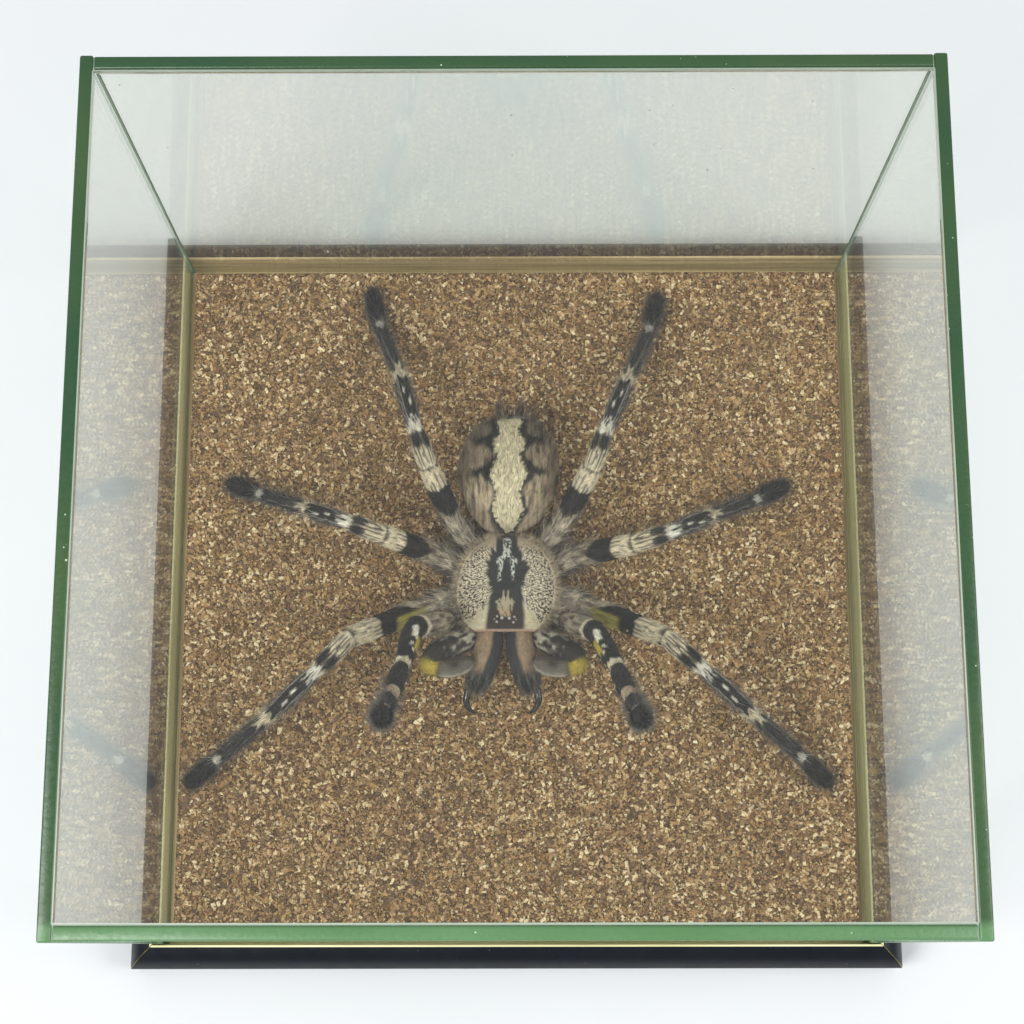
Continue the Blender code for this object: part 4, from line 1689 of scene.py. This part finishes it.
def build_abdomen():
    way = np.linspace(0, math.pi, ABDOMEN_RINGS + 2)[1:-1]
    turns = np.linspace(-math.pi, math.pi, ABDOMEN_SIDES + 1)
    spaced = turns - 0.42 * np.sin(turns)
    middle, half = np.array(ABDOMEN_MIDDLE, float), np.array(ABDOMEN_HALF)
    lean = np.broadcast_to(spaced[:-1], (len(way), ABDOMEN_SIDES))
    along = np.broadcast_to(way[:, None], lean.shape)
    full = np.sin(along) ** np.where(along < math.pi / 2, 1.08, 0.88)
    x = middle[0] + half[0] * full * np.sin(lean)
    y = middle[1] - half[1] * np.cos(along)
    z = middle[2] + half[2] * full * np.cos(lean)
    belly = 1 - 0.05 * smooth(30, 44, y) * np.abs(np.sin(lean))
    x = x * belly
    dent = np.exp(-(((np.abs(lean) - 1.15) / 0.28) ** 2)) * smooth(14, 18, y) * (1 - smooth(38, 43, y))
    lumps = (
        (mottle(x / 5, y / 6, z / 5, seed=61) - 0.5) * 1.3
        + (mottle(x / 2, y / 2.2, z / 2, seed=62) - 0.5) * 0.5
    )
    normal = np.stack((np.sin(lean), -np.cos(along) * 0.6, np.cos(lean)), axis=-1)
    points = np.stack((x, y, z), axis=-1) + normal * (lumps - 0.8 * dent)[..., None]
    coat_colours = abdomen_coat(points[..., 0], points[..., 1], lean)
    fall = -0.6 * np.cos(along) * np.cos(lean)
    back = np.stack((0.25 * np.sin(lean), np.sin(along) + 0.2, fall), axis=-1)
    back /= np.linalg.norm(back, axis=-1, keepdims=True)
    lie = np.zeros((len(way), ABDOMEN_SIDES + 1, 2))
    lie[..., 0] = (middle[1] - half[1] * np.cos(way))[:, None]
    lie[..., 1] = spaced[None, :] * 11.5
    upper = smooth(2.4, 1.6, np.abs(lean))
    stripe_calm = 1 - 0.4 * (np.abs(x) < 4)
    values = {
        "coat": ("FLOAT_COLOR", coat_colours),
        "flow": ("FLOAT_VECTOR", back),
        "fur_length": ("FLOAT", (0.8 + 0.15 * smooth(0.5, 1.5, np.abs(lean))) * stripe_calm),
        "fur_amount": ("FLOAT", 0.25 + 0.75 * upper),
        "whisker_amount": ("FLOAT", smooth(0.5, 1.1, np.abs(lean)) * upper),
    }
    mesh = shell("abdomen_skin", to_metres(leaned(points)), lie, values)
    skin = show("abdomen_skin", mesh, [ABDOMEN_COAT])
    settle(skin, ["abdomen"])
    layers = (
        layer(8.5, 1.9, 0.034, 0.2, 0.14, 0.0, 301),
        layer(1.6, 3.0, 0.014, 0.45, 0.4, 0.2, 302, LONG, "whisker_amount"),
    )
    grow_fur(skin, "abdomen_fur_coat", layers)


# ---------------------------------------------------------------- jaws, feelers and spinnerets

CHELICERA_POINTS = (
    (3.9, -12.6, 12.4), (4.1, -17, 14.6), (4.9, -21, 15.4), (6.2, -25.6, 15.0), (7.5, -29.2, 14.1)
)
CHELICERA_RADII = (3.5, 3.65, 3.65, 3.25, 2.3)
FANG_POINTS = ((9.0, -28.6, 13.9), (9.3, -30.4, 13.5), (9.5, -32, 13), (8.6, -33.9, 12.1), (6.6, -35.0, 10.9))
FANG_RADII = (1.0, 0.98, 0.9, 0.6, 0.12)
PALP_POINTS = (
    (4.6, -11.0, 8),
    (8.4, -13.5, 10.5),
    (10.4, -16.0, 14.5),
    (13.7, -18.2, 18),
    (17.2, -20.3, 20.4),
    (19.0, -22.9, 20.6),
    (15.6, -24.0, 20.2),
    (11.9, -23.5, 19.8),
    (7.8, -22.3, 20.1),
)
PALP_RADII = (2.3, 2.5, 2.8, 3.1, 2.8, 2.2, 2.4, 2.6, 1.7)
SPINNERET_POINTS = ((2.2, 43.8, 10.3), (2.5, 46.5, 9.9), (2.8, 48.6, 9.6), (3.1, 50.8, 9.2))
SPINNERET_RADII = (1.3, 1.2, 1.0, 0.45)


def curved(points, radii, step):
    """A smooth line through the points, with its radii, in about equal steps."""
    points, radii = np.array(points, float), np.array(radii, float)
    both = np.concatenate((points, radii[:, None]), axis=1)
    padded = np.vstack((2 * both[0] - both[1], both, 2 * both[-1] - both[-2]))
    out, spans = [], []
    for span in range(1, len(padded) - 2):
        a, b, c, d = padded[span - 1 : span + 3]
        count = max(3, int(round(np.linalg.norm(c[:3] - b[:3]) / step)))
        for number in range(count):
            t = number / count
            square, cube = (2 * a - 5 * b + 4 * c - d) * t * t, (3 * b - a - 3 * c + d) * t**3
            out.append(0.5 * (2 * b + (c - a) * t + square + cube))
            spans.append(span - 1 + t)
    out.append(both[-1])
    spans.append(len(points) - 1.0)
    out = np.array(out)
    return out[:, :3], np.maximum(out[:, 3], 0.05), np.array(spans)


def rounded_ends(places, radii, reach):
    """Draws the radii in over the last stretch of both ends, so that they close like a dome."""
    run = distances(places)
    close = np.minimum(run, run[-1] - run)
    dome = np.sqrt(np.clip(1 - (1 - np.clip(close / reach, 0, 1)) ** 2, 0.01, 1))
    return radii * dome


def limb(name, points, radii, side, step, sides, colour_of, material, node, extra, dome):
    """A furred or bare limb round a smooth line. colour_of gives its coat."""
    places, widths, spans = curved(points, radii, step)
    widths = rounded_ends(places, widths, dome)
    rings, lie, flow, lean, _ = lofted(places, widths, sides)
    spans = np.broadcast_to(spans[:, None], lean.shape)
    values = {
        "coat": ("FLOAT_COLOR", colour_of(spans, lean)),
        "flow": ("FLOAT_VECTOR", mirrored(flow, side)),
    }
    for label, value in extra(spans, lean).items():
        values[label] = ("FLOAT", value)
    turned = leaned(mirrored(rings, side))
    mesh = shell(name, to_metres(turned), lie, values, flip=side < 0)
    skin = show(name, mesh, [material])
    settle(skin, [node])
    return skin


def jaw_coat(spans, lean):
    """Tan on the outer upper face, slate towards the middle and at the hairy end."""
    coat = plain_coat(lean.shape, tint(54, 55, 56))
    jag = (mottle(lean * 3, spans * 1.2, seed=71) - 0.5) * 0.4
    tan_face = smooth(-0.36, -0.12, -lean + jag * 0.4) * (1 - smooth(1.3, 1.8, -lean))
    tan_face = tan_face * (1 - smooth(2.5, 3.1, spans + jag))
    coat = paint(coat, tint(166, 142, 114), tan_face * 0.95)
    coat = paint(coat, tint(190, 150, 126), tan_face * smooth(0.1, -0.4, -lean) * 0.4)
    coat = paint(
        coat,
        tint(126, 122, 110),
        smooth(2.5, 3.2, spans) * smooth(0.4, 0.65, mottle(lean * 6, spans * 1.2, seed=72)) * 0.85,
    )
    return coat


def jaw_extra(spans, lean):
    return {
        "fur_length": 0.6 + 0.9 * smooth(2.2, 3.4, spans),
        "fur_amount": 0.45 + 0.55 * smooth(2.0, 3.0, spans),
    }


def palp_coat(spans, lean):
    """Black with white spots, yellow at the knee and a soft grey pad at the end."""
    coat = plain_coat(lean.shape, tint(54, 49, 44))
    base = 1 - smooth(2.6, 3.3, spans + (mottle(lean * 3, spans * 2, seed=83) - 0.5) * 0.8)
    coat = paint(coat, tint(196, 187, 170), base * smooth(0.3, 0.55, mottle(lean * 4, spans * 2.6, seed=84)))
    spots = smooth(0.56, 0.68, mottle(spans * 3.6, lean * 2.4, seed=81))
    coat = paint(coat, WHITE, spots * smooth(1.4, 1.7, spans) * (1 - smooth(3.6, 3.9, spans)) * 0.6)
    knee = smooth(4.55, 4.9, spans) * (1 - smooth(5.45, 5.75, spans))
    coat = paint(coat, tint(190, 168, 70), knee * (1 - 0.6 * smooth(0.5, 1.5, lean)))
    coat = paint(coat, tint(104, 97, 87), smooth(5.6, 5.9, spans))
    pad = smooth(5.7, 6.0, spans)
    coat = paint(coat, tint(178, 170, 156), pad * smooth(0.6, 1.2, -lean) * 0.9)
    # Painted shade: a dark notch between the pad's two lobes, and the pad's rear side, towards the body,
    # painted darker.
    painted_notch_shade = np.exp(-(((spans - 6.75) / 0.45) ** 2)) * smooth(-0.5, 0.2, lean)
    coat = paint(coat, tint(52, 44, 38), pad * painted_notch_shade)
    coat = paint(coat, tint(70, 60, 54), pad * smooth(0.15, 0.7, lean) * 0.85)
    return coat


def palp_extra(spans, lean):
    return {
        "fur_length": 0.9 + 0.7 * smooth(0.8, 1.8, np.abs(lean)) - 0.6 * smooth(5.4, 6.0, spans),
        "fur_amount": 1 - 0.5 * smooth(5.4, 6.0, spans),
    }


def plain_extra(spans, lean):
    return {"fur_length": np.ones(lean.shape), "fur_amount": np.ones(lean.shape)}


def horn_coat(spans, lean):
    return plain_coat(lean.shape, BLACK)


def spinneret_coat(spans, lean):
    coat = plain_coat(lean.shape, tint(84, 68, 56))
    return paint(coat, TAN, smooth(0.5, 0.8, mottle(lean * 2.5, spans * 2, seed=91)) * 0.6)


def build_mouthparts():
    for side_name, side in (("left", -1), ("right", 1)):
        name = "chelicera_" + side_name
        jaw = limb(
            name + "_skin", CHELICERA_POINTS, CHELICERA_RADII, side, 0.33, 44,
            jaw_coat, JAW_COAT, name, jaw_extra, dome=2.4,
        )
        layers = (
            layer(8.0, 1.3, 0.034, 0.22, 0.18, 0.0, 401 + side),
            layer(2.2, 2.8, 0.016, 0.4, 0.3, 0.3, 404 + side, LONG, frost=0.3),
        )
        grow_fur(jaw, name + "_fur", layers)
        name = "palp_" + side_name
        palp = limb(
            name + "_skin", PALP_POINTS, PALP_RADII, side, 0.33, 36,
            palp_coat, LEG_COAT, name, palp_extra, dome=1.9,
        )
        layers = (
            layer(8.0, 1.3, 0.034, 0.28, 0.2, 0.0, 411 + side),
            layer(1.6, 2.8, 0.014, 0.6, 0.4, 0.2, 414 + side, LONG, frost=0.25),
        )
        grow_fur(palp, name + "_fur", layers)
        name = "fang_" + side_name
        limb(
            name + "_horn", FANG_POINTS, FANG_RADII, side, 0.2, 24,
            horn_coat, FANG_HORN, name, plain_extra, dome=0.3,
        )
        name = "spinneret_" + side_name
        spinner = limb(
            name + "_skin", SPINNERET_POINTS, SPINNERET_RADII, side, 0.3, 20,
            spinneret_coat, LEG_COAT, name, plain_extra, dome=0.6,
        )
        layers = (layer(9.0, 1.8, 0.022, 0.25, 0.2, 0.2, 421 + side, LONG),)
        grow_fur(spinner, name + "_fur", layers)


# Each eye over the front of the shield: its place from above and its radius
EYES = (
    (-2.1, -10.35, 0.33),
    (-0.85, -10.7, 0.46),
    (1.1, -10.75, 0.46),
    (2.4, -10.45, 0.33),
    (-2.15, -11.7, 0.36),
    (2.2, -11.85, 0.36),
    (-2.8, -11.0, 0.2),
    (2.9, -11.1, 0.2),
)


def build_eyes():
    shape = bmesh.new()
    skin = bpy.data.objects["shield_skin"]
    for x, y, radius in EYES:
        spot = to_metres(leaned(np.array((x, y, 40.0))))
        _, place, normal, _ = skin.ray_cast(Vector(spot), Vector((0, 0, -1)))
        ball = bmesh.ops.create_uvsphere(shape, u_segments=20, v_segments=12, radius=radius * MM)
        bmesh.ops.translate(shape, vec=place + normal * radius * 0.2 * MM, verts=ball["verts"])
    mesh = as_mesh(shape, "eyes")
    mesh.shade_smooth()
    eyes = show("eyes", mesh, [EYE_LENS])
    settle(eyes)


TAIL_BRISTLES = 150


def build_tail_fringe():
    """The long stiff bristles round the spinnerets."""
    dice = np.random.default_rng(5)
    points, faces, colours, shades = [], [], [], []
    for _ in range(TAIL_BRISTLES):
        root = np.array(
            (dice.uniform(-2.6, 3.6), 44.2 + dice.uniform(-0.6, 0.3), 10.5 + dice.uniform(-1.5, 2.4))
        )
        fan = (root[0] - 0.5) * 0.16 + dice.normal(0, 0.08)
        way = np.array((fan, 1.0, dice.uniform(-0.25, 0.12)))
        long = dice.uniform(3.6, 6.4)
        wide = dice.uniform(0.07, 0.14)
        start = len(points)
        for step in range(4):
            share = step / 4
            centre = root + way * long * share + np.array((0, 0, -0.5 * share * share))
            for corner in range(3):
                turn = corner * 2 * math.pi / 3
                points.append(
                    centre + np.array((math.cos(turn), 0, math.sin(turn))) * wide * (1 - share * 0.8)
                )
        points.append(root + way * long + np.array((0, 0, -0.5)))
        faces.append((start, start + 1, start + 2))
        for step in range(3):
            for corner in range(3):
                after = (corner + 1) % 3
                low, high = start + step * 3, start + step * 3 + 3
                faces.append((low + corner, high + corner, high + after, low + after))
        for corner in range(3):
            faces.append((start + 9 + corner, start + 12, start + 9 + (corner + 1) % 3))
        colour = DARK_BROWN if dice.random() < 0.6 else TAN
        colours += [colour] * 13
        shades += [dice.random()] * 13
    mesh = bpy.data.meshes.new("tail_fringe")
    mesh.from_pydata([tuple(p) for p in to_metres(leaned(np.array(points)))], [], faces)
    write_values(mesh, "coat", "FLOAT_COLOR", np.array(colours))
    write_values(mesh, "shade", "FLOAT", np.array(shades))
    turn_outward(mesh)
    fringe = show("tail_fringe", mesh, [FUR_FIBRE])
    settle(fringe)


for number in LEGS:
    build_leg(number, "left", -1)
    build_leg(number, "right", 1)
build_shield()
build_eyes()
build_abdomen()
build_mouthparts()
build_tail_fringe()
